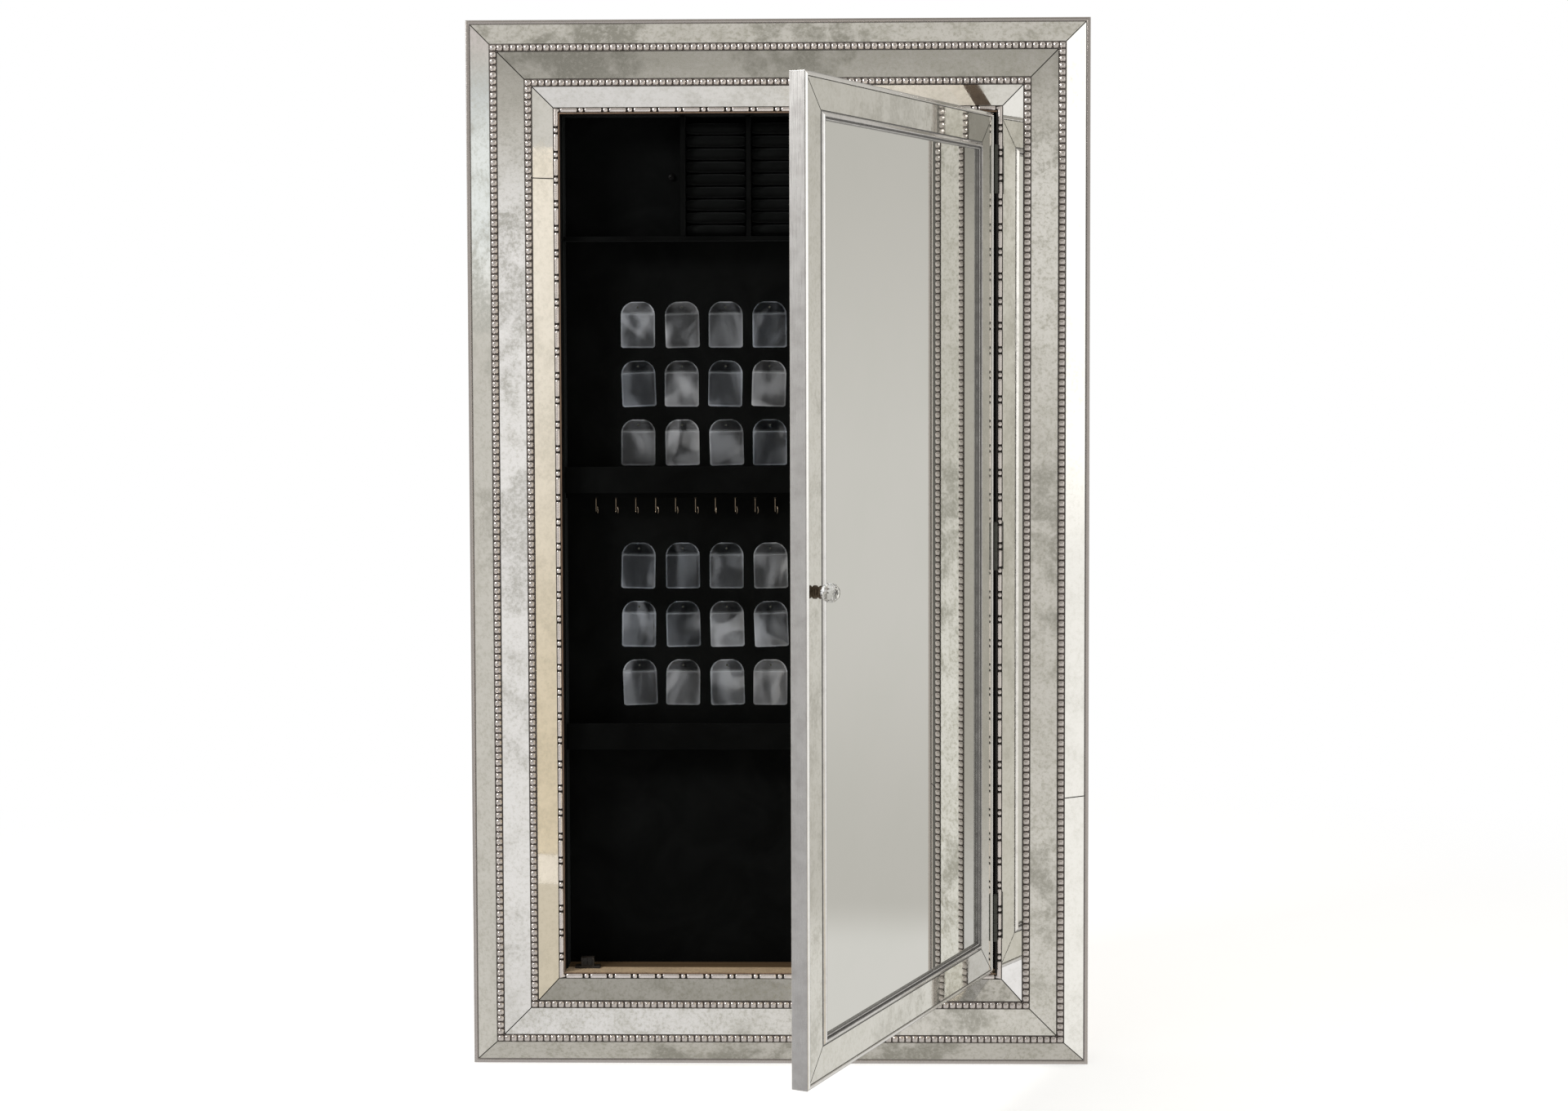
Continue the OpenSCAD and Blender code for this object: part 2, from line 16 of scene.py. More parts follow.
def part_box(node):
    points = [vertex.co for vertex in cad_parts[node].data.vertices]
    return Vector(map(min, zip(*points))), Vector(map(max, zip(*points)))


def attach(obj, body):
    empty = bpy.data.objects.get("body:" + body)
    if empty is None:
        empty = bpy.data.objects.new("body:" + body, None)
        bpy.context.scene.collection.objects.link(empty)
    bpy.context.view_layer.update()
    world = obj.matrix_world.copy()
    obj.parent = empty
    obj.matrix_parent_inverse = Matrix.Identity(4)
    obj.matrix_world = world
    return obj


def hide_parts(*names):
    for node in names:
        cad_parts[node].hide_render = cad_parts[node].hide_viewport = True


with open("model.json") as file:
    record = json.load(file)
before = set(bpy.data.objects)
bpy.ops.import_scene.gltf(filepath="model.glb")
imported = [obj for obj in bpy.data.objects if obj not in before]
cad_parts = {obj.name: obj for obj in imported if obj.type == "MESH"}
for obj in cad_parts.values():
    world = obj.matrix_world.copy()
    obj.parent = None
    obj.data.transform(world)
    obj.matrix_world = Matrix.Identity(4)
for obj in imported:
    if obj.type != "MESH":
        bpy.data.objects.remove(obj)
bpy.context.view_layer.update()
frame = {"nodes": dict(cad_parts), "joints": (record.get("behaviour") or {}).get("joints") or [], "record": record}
nodes = frame["nodes"]

MM = 0.001

# ---- sizes from the frame

case_low, case_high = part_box("outer_rim")
reel_low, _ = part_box("bead_and_reel_trim")
WIDTH = case_high.x - case_low.x
HEIGHT = case_high.z - case_low.z
FACE_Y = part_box("middle_mirror_left")[0].y  # front of the flat mirror band
FRAME = (WIDTH, HEIGHT, 0.0, FACE_Y)


def inset_of(node):
    """How far a node's left edge lies in from the left side of the rim."""
    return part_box(node)[0].x + WIDTH / 2


OUTER_BEAD_S, MIDDLE_S = inset_of("outer_bead_strip"), inset_of("middle_mirror_left")
INNER_BEAD_S, INNER_S = inset_of("inner_bead_strip"), inset_of("inner_mirror_left")
REEL_S, REEL_W = inset_of("bead_and_reel_trim"), 9 * MM
REEL_CROWN = FACE_Y - reel_low.y  # negative: it lies behind the flat band
BEAD_CROWN = FACE_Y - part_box("outer_bead_strip")[0].y
BEAD_W = MIDDLE_S - OUTER_BEAD_S
open_low, open_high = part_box("back_liner")
LINER_Y = open_low.y

hinge = frame["joints"][0]
PIN = Vector(hinge["pos_m"])
OPEN_ANGLE = math.radians(-hinge["range_deg"][0])
DOOR_GAP = 3 * MM
DOOR_W = open_high.x - open_low.x - 2 * DOOR_GAP
DOOR_H = open_high.z - open_low.z - 2 * DOOR_GAP
DOOR_Z = open_low.z + DOOR_GAP
DOOR_FACE_Y = PIN.y + 4 * MM
DOOR = (DOOR_W, DOOR_H, DOOR_Z, DOOR_FACE_Y)
to_open = (
    Matrix.Translation(PIN) @ Matrix.Rotation(OPEN_ANGLE, 4, "Z") @ Matrix.Translation(-PIN)
)


# ---- node graphs


class Value:
    """A node's output. Arithmetic on it adds Math nodes."""

    def __init__(self, graph, socket):
        self.graph, self.socket = graph, socket

    def __add__(self, other):
        return self.graph.math("ADD", self, other)

    def __sub__(self, other):
        return self.graph.math("SUBTRACT", self, other)

    def __rsub__(self, other):
        return self.graph.math("SUBTRACT", other, self)

    def __mul__(self, other):
        return self.graph.math("MULTIPLY", self, other)

    __radd__, __rmul__ = __add__, __mul__


class Graph:
    """Shortcuts for building a node tree."""

    def __init__(self, tree):
        self.tree = tree

    def node(self, kind, inputs=(), output=0, **settings):
        """Adds a node and gives one of its outputs."""
        made = self.tree.nodes.new("ShaderNode" + kind)
        for name, setting in settings.items():
            setattr(made, name, setting)
        for name, value in dict(inputs).items():
            self.feed(made.inputs[name], value)
        return Value(self, made.outputs[output])

    def feed(self, socket, value):
        if isinstance(value, Value):
            self.tree.links.new(value.socket, socket)
        elif socket.type == "RGBA" and not hasattr(value, "__len__"):
            socket.default_value = (value, value, value, 1)
        elif socket.type == "RGBA" and len(value) == 3:
            socket.default_value = (*value, 1)
        else:
            socket.default_value = value

    def finish(self, kind, shader):
        self.feed(self.tree.nodes.new("ShaderNodeOutput" + kind).inputs[0], shader)

    def math(self, operation, *values, clamp=False):
        return self.node("Math", enumerate(values), operation=operation, use_clamp=clamp)

    def coords(self, scale=(1, 1, 1), shift=(0, 0, 0), kind="Object"):
        source = self.node("TexCoord", output=kind)
        return self.node("Mapping", {"Vector": source, "Scale": scale, "Location": shift})

    def noise(self, vector, scale, detail=2.0, roughness=0.5, distortion=0.0):
        inputs = {"Vector": vector, "Scale": scale, "Detail": detail}
        inputs.update({"Roughness": roughness, "Distortion": distortion})
        return self.node("TexNoise", inputs)

    def cells(self, vector, scale):
        return self.node("TexVoronoi", {"Vector": vector, "Scale": scale}, "Distance")

    def step(self, value, low, high, start=0.0, end=1.0):
        """Goes smoothly from start to end as value goes from low to high."""
        inputs = {"Value": value, "From Min": low, "From Max": high, "To Min": start, "To Max": end}
        return self.node("MapRange", inputs, interpolation_type="SMOOTHSTEP")

    def mix(self, share, first, second):
        inputs = {0: share, 6: first, 7: second}
        return self.node("Mix", inputs, 2, data_type="RGBA", clamp_factor=True)

    def parts(self, vector):
        node = self.node("SeparateXYZ", {0: vector}).socket.node
        return [Value(self, socket) for socket in node.outputs]

    def dot(self, vector, direction):
        return self.node("VectorMath", {0: vector, 1: direction}, "Value", operation="DOT_PRODUCT")

    def attribute(self, name):
        return self.node("Attribute", output="Fac", attribute_name=name)

    def bump(self, height, distance, strength=1.0):
        return self.node("Bump", {"Height": height, "Distance": distance, "Strength": strength})


def principled(recipe):
    """Turns recipe(graph, ...), which gives a Principled shader's inputs, into a function
    (name, ...) that makes the material."""

    def make_material(name, *settings):
        material = bpy.data.materials.new(name)
        material.use_nodes = True
        tree = material.node_tree
        shader = next(n for n in tree.nodes if n.type == "BSDF_PRINCIPLED")
        graph = Graph(tree)
        for socket, value in recipe(graph, *settings).items():
            graph.feed(shader.inputs[socket], value)
        return material

    return make_material


# ---- materials


@principled
def antique_mirror(g, seed, light, dark, clouding, ageing):
    """Foxed silvering: soft clouds, dull patches, small specks and faint rings."""
    place = g.coords(shift=(3.1 * seed, 1.7 * seed, 2.3 * seed))
    broad = g.noise(place, 4.5, 2.0, 0.5)
    cloud = g.noise(place, 21.0, 4.0, 0.6, 0.3)
    curd = g.noise(place, 130.0, 4.0, 0.7)
    grain = g.noise(place, 340.0, 2.0, 0.6)
    specks = g.cells(place, 130.0)
    rings = g.cells(place, 62.0)
    haze = g.step(cloud * 0.6 + curd * 0.4, 0.40, 0.64) * (0.42 * clouding)
    fleck = g.step(curd, 0.48, 0.62) * (0.27 * clouding)
    fleck = fleck + g.step(grain, 0.50, 0.70) * (0.16 * clouding)
    dot = g.step(specks, 0.06, 0.17, 1.0, 0.0) * g.step(curd, 0.44, 0.58) * 0.42
    ring = g.step(rings, 0.16, 0.19) * g.step(rings, 0.20, 0.25, 1.0, 0.0)
    ring = ring * g.step(cloud, 0.42, 0.62) * 0.16
    wear = g.math("ADD", haze + fleck, dot + ring, clamp=True)
    patch = g.step(broad * 0.62 + cloud * 0.38, 0.50, 0.61)
    patch = patch * g.step(curd, 0.30, 0.56, 0.35, 1.0)
    aged = tuple(0.70 * c for c in dark)
    return {
        "Base Color": g.mix(patch * ageing, g.mix(wear, light, dark), aged),
        "Metallic": 1.0,
        "Roughness": g.step(wear + patch * 0.4, 0.0, 1.0, 0.03, 0.15),
        "Normal": g.bump(grain + curd, 0.00003, 0.3),
    }


@principled
def silver(g, light, dark, roughness, patina_and_shade_strength):
    """Silver leaf with a dark glaze left in the hollows, which a point attribute marks. The same
    darkening paints the shade that falls in grooves, quirks and the gaps between beads.
    """
    place = g.coords()
    blotch = g.noise(place, 60.0, 4.0, 0.6)
    fine = g.noise(place, 900.0, 3.0, 0.6)
    # painted shade: the glaze darkens grooves, quirks and gaps, as well as the real patina
    hollows_and_shaded_gaps = g.attribute("patina_and_painted_shade") + (blotch - 0.5) * 0.4 * patina_and_shade_strength
    glaze_and_painted_shade = g.math("MULTIPLY", g.step(hollows_and_shaded_gaps, 0.10, 0.85), patina_and_shade_strength, clamp=True)
    tarnish = g.step(blotch, 0.40, 0.72) * (0.45 * patina_and_shade_strength)
    worn = g.mix(tarnish, light, tuple(0.74 * c for c in light))
    return {
        "Base Color": g.mix(glaze_and_painted_shade, worn, dark),
        "Metallic": g.step(glaze_and_painted_shade, 0.0, 1.0, 1.0, 0.3),
        "Roughness": g.step(fine + glaze_and_painted_shade * 0.6, 0.3, 1.3, roughness * 0.8, roughness * 2.0),
        "Normal": g.bump(fine + blotch, 0.0001, 0.45 * patina_and_shade_strength),
    }


@principled
def wood(g, light, dark, along, roughness, ring_scale):
    """Wood whose grain runs along one axis."""
    stretch = {"x": (0.06, 1, 1), "z": (1, 1, 0.06)}[along]
    place = g.coords(scale=stretch)
    warp = g.noise(place, ring_scale, 3.0, 0.5, 1.2)
    bands = g.math("SINE", warp * 55.0)
    pores = g.noise(place, 900.0, 2.0, 0.6)
    stripe = g.step(bands, -1.0, 1.0) * 0.6 + g.step(pores, 0.45, 0.7) * 0.4
    return {
        "Base Color": g.mix(stripe, light, dark),
        "Roughness": g.step(stripe, 0.0, 1.0, roughness, roughness + 0.15),
        "Normal": g.bump(pores + bands * 0.2, 0.0002, 0.5),
    }


@principled
def paint(g, light, dark, roughness, metallic=0.0, weave=0.0, shine=0.5, shaded_foot=None):
    """A painted or covered board with a little unevenness. weave adds a fine cloth texture, and
    the last argument is a painted shade that it takes towards the bottom."""
    place = g.coords()
    mottle = g.noise(place, 14.0, 5.0, 0.6)
    fine = g.noise(place, 520.0, 3.0, 0.6)
    x, y, z = g.parts(place)
    threads = 5200.0
    thread = g.math("SINE", (x + y) * threads) * g.math("SINE", z * threads)
    height = fine + thread * weave
    colour = g.mix(g.step(mottle + fine * 0.3, 0.4, 0.95), light, dark)
    # painted shade: darker and yellower towards the bottom, where less light falls
    if shaded_foot:
        rise = g.parts(g.coords(kind="Generated"))[2]
        colour = g.mix(g.step(rise, 0.80, 0.08), colour, shaded_foot)
    return {
        "Base Color": colour,
        "Metallic": metallic,
        "Specular IOR Level": shine,
        "Roughness": g.step(fine, 0.3, 0.7, roughness, roughness + 0.12),
        "Normal": g.bump(height, 0.0002, 0.4),
    }


@principled
def velvet(g, level, sheen):
    """Short black pile that leans this way and that."""
    place = g.coords()
    brushed = g.noise(place, 9.0, 4.0, 0.6, 0.8)
    pile = g.noise(place, 1500.0, 2.0, 0.7)
    shade = g.step(brushed + pile * 0.35, 0.45, 0.95)
    deep = tuple(level * c for c in (0.6, 0.7, 0.7))
    bright = tuple(level * c for c in (1.7, 1.9, 1.9))
    return {
        "Base Color": g.mix(shade, deep, bright),
        "Roughness": g.step(pile, 0.3, 0.7, 0.85, 1.0),
        "Specular IOR Level": 0.05,
        "Sheen Weight": sheen,
        "Sheen Roughness": 0.4,
        "Sheen Tint": (0.55, 0.6, 0.62, 1),
        "Normal": g.bump(pile, 0.0006, 0.6),
    }


@principled
def metal(g, light, dark, roughness, brushed=(1, 1, 1)):
    """Plated metal. brushed stretches the fine scratches along an axis."""
    scratch = g.noise(g.coords(scale=brushed), 1300.0, 3.0, 0.6)
    dark_tone = g.noise(g.coords(), 90.0, 4.0, 0.6)
    mark = g.step(dark_tone, 0.45, 0.75) * 0.4
    return {
        "Base Color": g.mix(mark + scratch * 0.15, light, dark),
        "Metallic": 1.0,
        "Roughness": g.step(scratch, 0.3, 0.7, roughness * 0.8, roughness * 1.3),
        "Normal": g.bump(scratch, 0.00008, 0.6),
    }


@principled
def clear_mirror(g):
    """Polished mirror with the faintest film on it."""
    place = g.coords()
    breath = g.noise(place, 5.0, 4.0, 0.6)
    dust = g.noise(place, 420.0, 2.0, 0.6)
    return {
        "Base Color": g.mix(g.step(breath, 0.4, 0.7), (0.89, 0.895, 0.865), (0.875, 0.885, 0.85)),
        "Metallic": 1.0,
        "Roughness": g.step(breath + dust * 0.2, 0.5, 0.9, 0.004, 0.022),
    }


@principled
def vinyl(g):
    """Soft film that lets most light through, with a wavy haze and gloss. The haze is partly
    painted reflection: it thickens and pales in streaks and glare patches where the film
    would catch the studio. The edge attribute is 1 at the welds and the mouth, and below 0 on
    the single-ply flap; shade sets how hazy each pocket is."""
    place = g.coords()
    streak = g.noise(g.coords(scale=(1, 1, 0.5)), 17.0, 2.0, 0.5, 0.9)
    glare = g.noise(g.coords(scale=(1, 1, 0.7), shift=(5, 0, 2)), 13.0, 1.0, 0.5, 1.2)
    fog = g.noise(place, 160.0, 3.0, 0.6)
    edge = g.attribute("edge")
    shade = g.attribute("shade")
    two_ply = g.step(edge, -0.7, -0.2)
    weld = g.step(edge, 0.45, 1.0)
    # painted reflection: the haze grows in the streaks and glare patches
    haze = g.step(streak, 0.38, 0.64, 0.06, 0.23) + g.step(glare, 0.55, 0.68) * 0.20
    haze = (haze + g.step(fog, 0.4, 0.8) * 0.03) * (0.28 + two_ply * 0.72)
    body = g.math("ADD", haze * (0.18 + shade * 0.9), weld * 0.11, clamp=True)
    return {
        "Base Color": g.mix(
            g.step(shade, 0.2, 1.0),
            # painted reflection: paler and bluer in the streaks
            g.mix(g.step(streak, 0.35, 0.65), (0.46, 0.50, 0.56), (0.70, 0.75, 0.83)),
            (0.44, 0.41, 0.37),
        ),
        "Transmission Weight": 1 - body,
        "IOR": 1.03,
        "Coat Weight": two_ply * 0.2 + g.step(glare, 0.52, 0.66) * 0.8,
        "Coat Roughness": 0.15,
        "Roughness": g.step(streak, 0.3, 0.7, 0.30, 0.36),
        "Normal": g.bump(streak + glare * 0.6, 0.0008, 0.35),
    }


@principled
def crystal(g):
    """Cut lead crystal, with a little unevenness so that the facets glitter."""
    ripple = g.noise(g.coords(), 240.0, 2.0, 0.5)
    return {
        "Base Color": g.mix(ripple, (0.97, 0.985, 1.0), (1.0, 1.0, 1.0)),
        "Roughness": 0.0,
        "IOR": 1.56,
        "Transmission Weight": 1.0,
        "Normal": g.bump(ripple, 0.00005, 0.3),
    }


@principled
def door_frame_silver(g):
    """Satin silver leaf on the door's face and edges, pale lacquer on its inner face, and dark
    brown on its top edge."""
    inner_way = to_open.to_3x3() @ Vector((0, 1, 0))
    normal = g.coords(kind="Normal")
    inside = g.step(g.dot(normal, inner_way), 0.6, 0.8)
    end = g.step(g.parts(normal)[2], 0.75, 0.9)
    brush = g.noise(g.coords(scale=(1, 1, 0.03)), 700.0, 3.0, 0.6)
    mottle = g.noise(g.coords(), 40.0, 4.0, 0.6)
    leaf = g.mix(g.step(mottle, 0.35, 0.75), (0.545, 0.54, 0.535), (0.455, 0.445, 0.44))
    lacquer = g.mix(g.step(mottle, 0.3, 0.7), (0.88, 0.825, 0.745), (0.84, 0.785, 0.705))
    dark_tone = g.mix(g.step(mottle, 0.3, 0.7), (0.085, 0.060, 0.042), (0.060, 0.042, 0.030))
    return {
        "Base Color": g.mix(end, g.mix(inside, leaf, lacquer), dark_tone),
        "Metallic": (1 - inside) * (1 - end) * 0.9,
        "Roughness": g.step(brush, 0.3, 0.7, 0.26, 0.36) + inside * 0.4,
        "Specular IOR Level": 0.5 - inside * 0.4,
        "Normal": g.bump(brush, 0.0001, 0.3),
    }


@principled
def faced(g, face, side):
    """A board with one finish on its front, and another on its other sides."""
    grain = g.noise(g.coords(scale=(1, 1, 0.08)), 320.0, 3.0, 0.6)
    mottle = g.noise(g.coords(), 30.0, 4.0, 0.6)
    front = g.step(g.dot(g.coords(kind="Normal"), (0, -1, 0)), 0.6, 0.8)
    shade = g.step(grain * 0.6 + mottle * 0.4, 0.35, 0.65)
    worn_face = g.mix(shade, face, tuple(0.62 * c for c in face))
    worn_side = g.mix(shade, side, tuple(0.72 * c for c in side))
    return {
        "Base Color": g.mix(front, worn_side, worn_face),
        "Roughness": g.step(grain, 0.3, 0.7, 0.45, 0.65),
        "Normal": g.bump(grain, 0.0002, 0.4),
    }


LIGHT_MIRROR, CLEAN_MIRROR = (0.975, 0.962, 0.92), (1.0, 0.99, 0.955)
DARK_MIRROR = (0.70, 0.69, 0.62)
# painted shade: ground glass edges near black, their own tone and the shade in the seams
mirror_edge = metal("mirror_edge", (0.05, 0.048, 0.04), (0.02, 0.02, 0.016), 0.35)
mirrors = {
    place: antique_mirror(f"antique_mirror_{place}", seed, light, DARK_MIRROR, cloud, ageing)
    for place, seed, light, cloud, ageing in (
        ("left", 1, LIGHT_MIRROR, 0.9, 0.40),
        ("right", 2, LIGHT_MIRROR, 1.45, 0.75),
        ("top", 3, LIGHT_MIRROR, 1.6, 0.95),
        ("bottom", 4, LIGHT_MIRROR, 1.4, 0.75),
        ("outer_right", 6, LIGHT_MIRROR, 0.45, 0.10),
        ("inner_left", 7, LIGHT_MIRROR, 0.50, 0.15),
        ("inner_right", 8, CLEAN_MIRROR, 0.30, 0.08),
        ("inner_top", 9, LIGHT_MIRROR, 0.70, 0.15),
    )
}
door_mirrors = antique_mirror(
    "door_border_mirror", 5, (0.93, 0.925, 0.875), (0.72, 0.71, 0.635), 0.8, 0.35
)
beading = silver("antique_silver", (0.77, 0.72, 0.69), (0.040, 0.029, 0.024), 0.25, 1.0)
reel_silver = silver("reel_silver", (0.95, 0.89, 0.865), (0.020, 0.014, 0.011), 0.28, 1.0)
rim_silver = silver("silver_rim", (0.61, 0.57, 0.545), (0.05, 0.038, 0.03), 0.28, 0.4)
moulding_silver = silver(
    "door_moulding_silver", (0.90, 0.89, 0.88), (0.03, 0.026, 0.023), 0.15, 0.85
)
lip_silver = silver("door_lip_silver", (0.96, 0.95, 0.925), (0.08, 0.07, 0.06), 0.17, 0.6)
frame_silver = door_frame_silver("door_frame_silver")
looking_glass = clear_mirror("clear_mirror")
pile = velvet("black_velvet", 0.0020, 0.05)
board_pile = velvet("velvet_board", 0.0016, 0.035)
roll_pile = velvet("ring_roll_velvet", 0.0024, 0.06)
# lit and shaded copies of one wood: painted shade makes the opening's inner sides near black
reveal_wood_shaded_inside = faced("frame_wood", (0.15, 0.092, 0.056), (0.006, 0.006, 0.006))
# painted shadow: the right reveal is black all over
shadowed_reveal = faced("frame_wood_dark", (0.010, 0.008, 0.007), (0.006, 0.006, 0.006))
# painted light: the sill is lighter, its top most of all, where light falls on it
lit_sill_wood = faced("frame_wood_sill", (0.20, 0.125, 0.075), (0.50, 0.38, 0.25))
# painted shade: darkened well below the wood's own tone for the weak light inside the box
box_wood = wood("box_wood", (0.080, 0.050, 0.023), (0.058, 0.036, 0.017), "x", 0.55, 8.0)
plywood = wood("plywood", (0.60, 0.455, 0.30), (0.50, 0.37, 0.235), "z", 0.6, 7.5)
case_paint = paint("case_paint", (0.53, 0.48, 0.42), (0.44, 0.39, 0.335), 0.40, 0.35)
# the last beige is a painted shade for the foot of the inner panel
BEIGE, BEIGE_DARK, BEIGE_PAINTED_SHADE = (0.90, 0.855, 0.785), (0.86, 0.815, 0.745), (0.78, 0.69, 0.54)
inner_lacquer = paint("beige_panel", BEIGE, BEIGE_DARK, 0.6, 0.0, 0.3, 0.12, BEIGE_PAINTED_SHADE)
bronze = metal("bronze_wire", (0.24, 0.20, 0.155), (0.04, 0.032, 0.024), 0.20)
nickel = metal("nickel", (0.72, 0.70, 0.67), (0.35, 0.33, 0.30), 0.25)
hinge_steel = metal("hinge_steel", (0.10, 0.105, 0.095), (0.04, 0.04, 0.036), 0.34, (1, 1, 0.05))
screw_steel = metal("screw_steel", (0.34, 0.34, 0.32), (0.12, 0.12, 0.11), 0.30)
pole_steel = metal("catch_pole_steel", (0.045, 0.043, 0.041), (0.022, 0.020, 0.018), 0.38)
black_screw = metal("black_screw", (0.012, 0.012, 0.012), (0.005, 0.005, 0.005), 0.5)
dark_bronze = metal("dark_bronze", (0.115, 0.088, 0.062), (0.03, 0.022, 0.016), 0.28)
catch_brown = paint("catch_plastic", (0.020, 0.015, 0.012), (0.010, 0.008, 0.006), 0.5)
film = vinyl("clear_vinyl")
cut_glass = crystal("crystal")


# ---- meshes

SIDES = ("left", "right", "bottom", "top")
CREASE = math.radians(40)  # edges that turn by more than this stay sharp


def tube(rings, sides, capped=True):
    """Faces between rings of points, with an end cap at the first ring and, where capped, at
    the last."""
    faces = []
    for k in range(rings - 1):
        for j in range(sides):
            m = (j + 1) % sides
            faces.append((k * sides + j, k * sides + m, (k + 1) * sides + m, (k + 1) * sides + j))
    faces.append(tuple(reversed(range(sides))))
    if capped:
        faces.append(tuple(range((rings - 1) * sides, rings * sides)))
    return faces


def circle(sides, shift=0.0):
    """The cosine and sine of angles spaced evenly round a circle."""
    angles = (2 * math.pi * (j + shift) / sides for j in range(sides))
    return [(math.cos(a), math.sin(a)) for a in angles]


def placed(verts, matrix):
    return [matrix @ Vector(v) for v in verts]


class Build:
    """Collects points, faces, point values, material slots and sharp edges for one mesh."""

    def __init__(self):
        self.verts, self.faces, self.values, self.slots, self.sharp = [], [], [], [], set()

    def add(self, verts, faces, values=None, slots=None, sharp=()):
        base = len(self.verts)
        self.verts += [tuple(v) for v in verts]
        self.faces += [tuple(base + i for i in f) for f in faces]
        self.values += list(values) if values is not None else [0.0] * len(verts)
        self.slots += list(slots) if slots else [0] * len(faces)
        self.sharp |= {(base + min(pair), base + max(pair)) for pair in sharp}

    def lathe(self, profile, place, sides, flute=None):
        """Points (radius, height), in mm, turned about the +Z of place and closed at both ends.
        flute(angle, k) scales the radius of ring k."""
        verts = []
        for k, (radius, height) in enumerate(profile):
            for j in range(sides):
                a = 2 * math.pi * j / sides
                r = radius * MM * (flute(a, k) if flute else 1.0)
                verts.append((r * math.cos(a), r * math.sin(a), height * MM))
        self.add(placed(verts, place), tube(len(profile), sides))

    def piece(self, name, materials, body, slot, smooth=True, values=None):
        """The mesh as a piece that rides on a body. Door pieces are built closed and opened
        here. values holds float attributes of the points in place of the one for patina and
        painted shade."""
        verts = placed(self.verts, to_open) if body == "door" else self.verts
        mesh = bpy.data.meshes.new(name)
        mesh.from_pydata([tuple(map(float, v)) for v in verts], [], self.faces)
        for material in materials:
            mesh.materials.append(material)
        mesh.polygons.foreach_set("material_index", self.slots)
        for key, data in (values or {"patina_and_painted_shade": self.values}).items():
            layer = mesh.attributes.new(key, "FLOAT", "POINT")
            layer.data.foreach_set("value", np.asarray(data, np.float32))
        mesh.polygons.foreach_set("use_smooth", [smooth] * len(mesh.polygons))
        mesh.update()
        if smooth:
            mesh.set_sharp_from_angle(angle=CREASE)
        for line in mesh.edges if self.sharp else ():
            if tuple(sorted(line.vertices)) in self.sharp:
                line.use_edge_sharp = True
        piece = bpy.data.objects.new(name, mesh)
        bpy.context.scene.collection.objects.link(piece)
        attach(piece, body)
        return piece


def side_length(side, size):
    return size[1] if side in SIDES[:2] else size[0]


def on_side(side, along, inset, rise, size):
    """A point near one side of a rectangle of (width, height, low z, face y)."""
    width, height, low_z, face_y = size
    y = face_y - rise
    if side in SIDES[:2]:
        x = width / 2 - inset
        return (-x if side == "left" else x, y, low_z + along)
    return (along - width / 2, y, low_z + (inset if side == "bottom" else height - inset))


def turned(side, faces):
    """Faces drawn on the left or top keep their order, and on the other sides they turn over."""
    return [tuple(reversed(f)) for f in faces] if side in ("right", "bottom") else faces


def mitred_ring(build, profile, size, start=0.0):
    """A closed profile of (inset, rise towards the viewer, darkness), in mm, run round a
    rectangle, with mitres whose edges are sharp. The darkness stands for patina and for painted
    shade in hollows. start is added to each inset, in metres."""
    width, height, low_z, face_y = size
    n = len(profile)
    verts = []
    for x_side, top in ((-1, 0), (1, 0), (1, 1), (-1, 1)):
        for inset, rise, _ in profile:
            s = start + inset * MM
            z = low_z + (height - s if top else s)
            verts.append((x_side * (width / 2 - s), face_y - rise * MM, z))
    faces, sharp = [], []
    for corner in range(4):
        near, far = corner * n, (corner + 1) % 4 * n
        for k in range(n):
            m = (k + 1) % n
            faces.append((near + k, near + m, far + m, far + k))
            sharp.append((near + k, near + m))
    build.add(verts, faces, [patina_and_painted_shade for *_, patina_and_painted_shade in profile] * 4, sharp=sharp)


GLASS = 3 * MM
GLASS_GAP, GROUND = 0.25 * MM, 0.7 * MM


def glass_strip(build, side, outer, inner, size, ends=(None, None)):
    """One strip of mirror between two long edges, each given as (inset, depth), with its four
    front edges ground. ends holds None at a mitre, or how far along the side a butt end is."""
    length = side_length(side, size)
    (s0, d0), (s1, d1) = outer, inner
    slope = (d1 - d0) / (s1 - s0)
    thick = GLASS / math.cos(math.atan(slope))  # measured front to back

    def corner(s, at_end, back_off, drop):
        if ends[at_end] is None:
            along = s + GLASS_GAP + back_off * 1.4  # the mitre runs at 45 degrees
            along = length - along if at_end else along
        else:
            along = ends[at_end] + (GLASS_GAP + back_off) * (-1 if at_end else 1)
        return on_side(side, along, s, -(d0 + slope * (s - s0) + drop), size)

    verts = []
    for low_s, high_s, off, drop in (
        (s0 + GROUND, s1 - GROUND, GROUND, 0.0),
        (s0, s1, 0.0, GROUND),
        (s0, s1, 0.0, thick),
    ):
        for s, at_end in ((low_s, 0), (high_s, 0), (high_s, 1), (low_s, 1)):
            verts.append(corner(s, at_end, off, drop))
    faces = [(0, 1, 2, 3)]
    for front in (0, 4):
        for k in range(4):
            m = (k + 1) % 4
            faces.append((front + 4 + k, front + 4 + m, front + m, front + k))
    faces.append((11, 10, 9, 8))
    build.add(verts, turned(side, faces), slots=[0] + [1] * (len(faces) - 1))


def dress(names, material, bevel=0.0, segments=2):
    """Gives CAD nodes their material, and rounds their sharp edges by bevel millimetres."""
    for name in names.split():
        piece = nodes[name]
        piece.data.materials.clear()
        piece.data.materials.append(material)
        if not bevel:
            continue
        weld = piece.modifiers.new("weld", "WELD")
        weld.merge_threshold = 1e-5
        rounding = piece.modifiers.new("bevel", "BEVEL")
        rounding.width = bevel * MM
        rounding.segments = segments
        rounding.limit_method = "ANGLE"
        rounding.angle_limit = math.radians(30)


# ---- beading

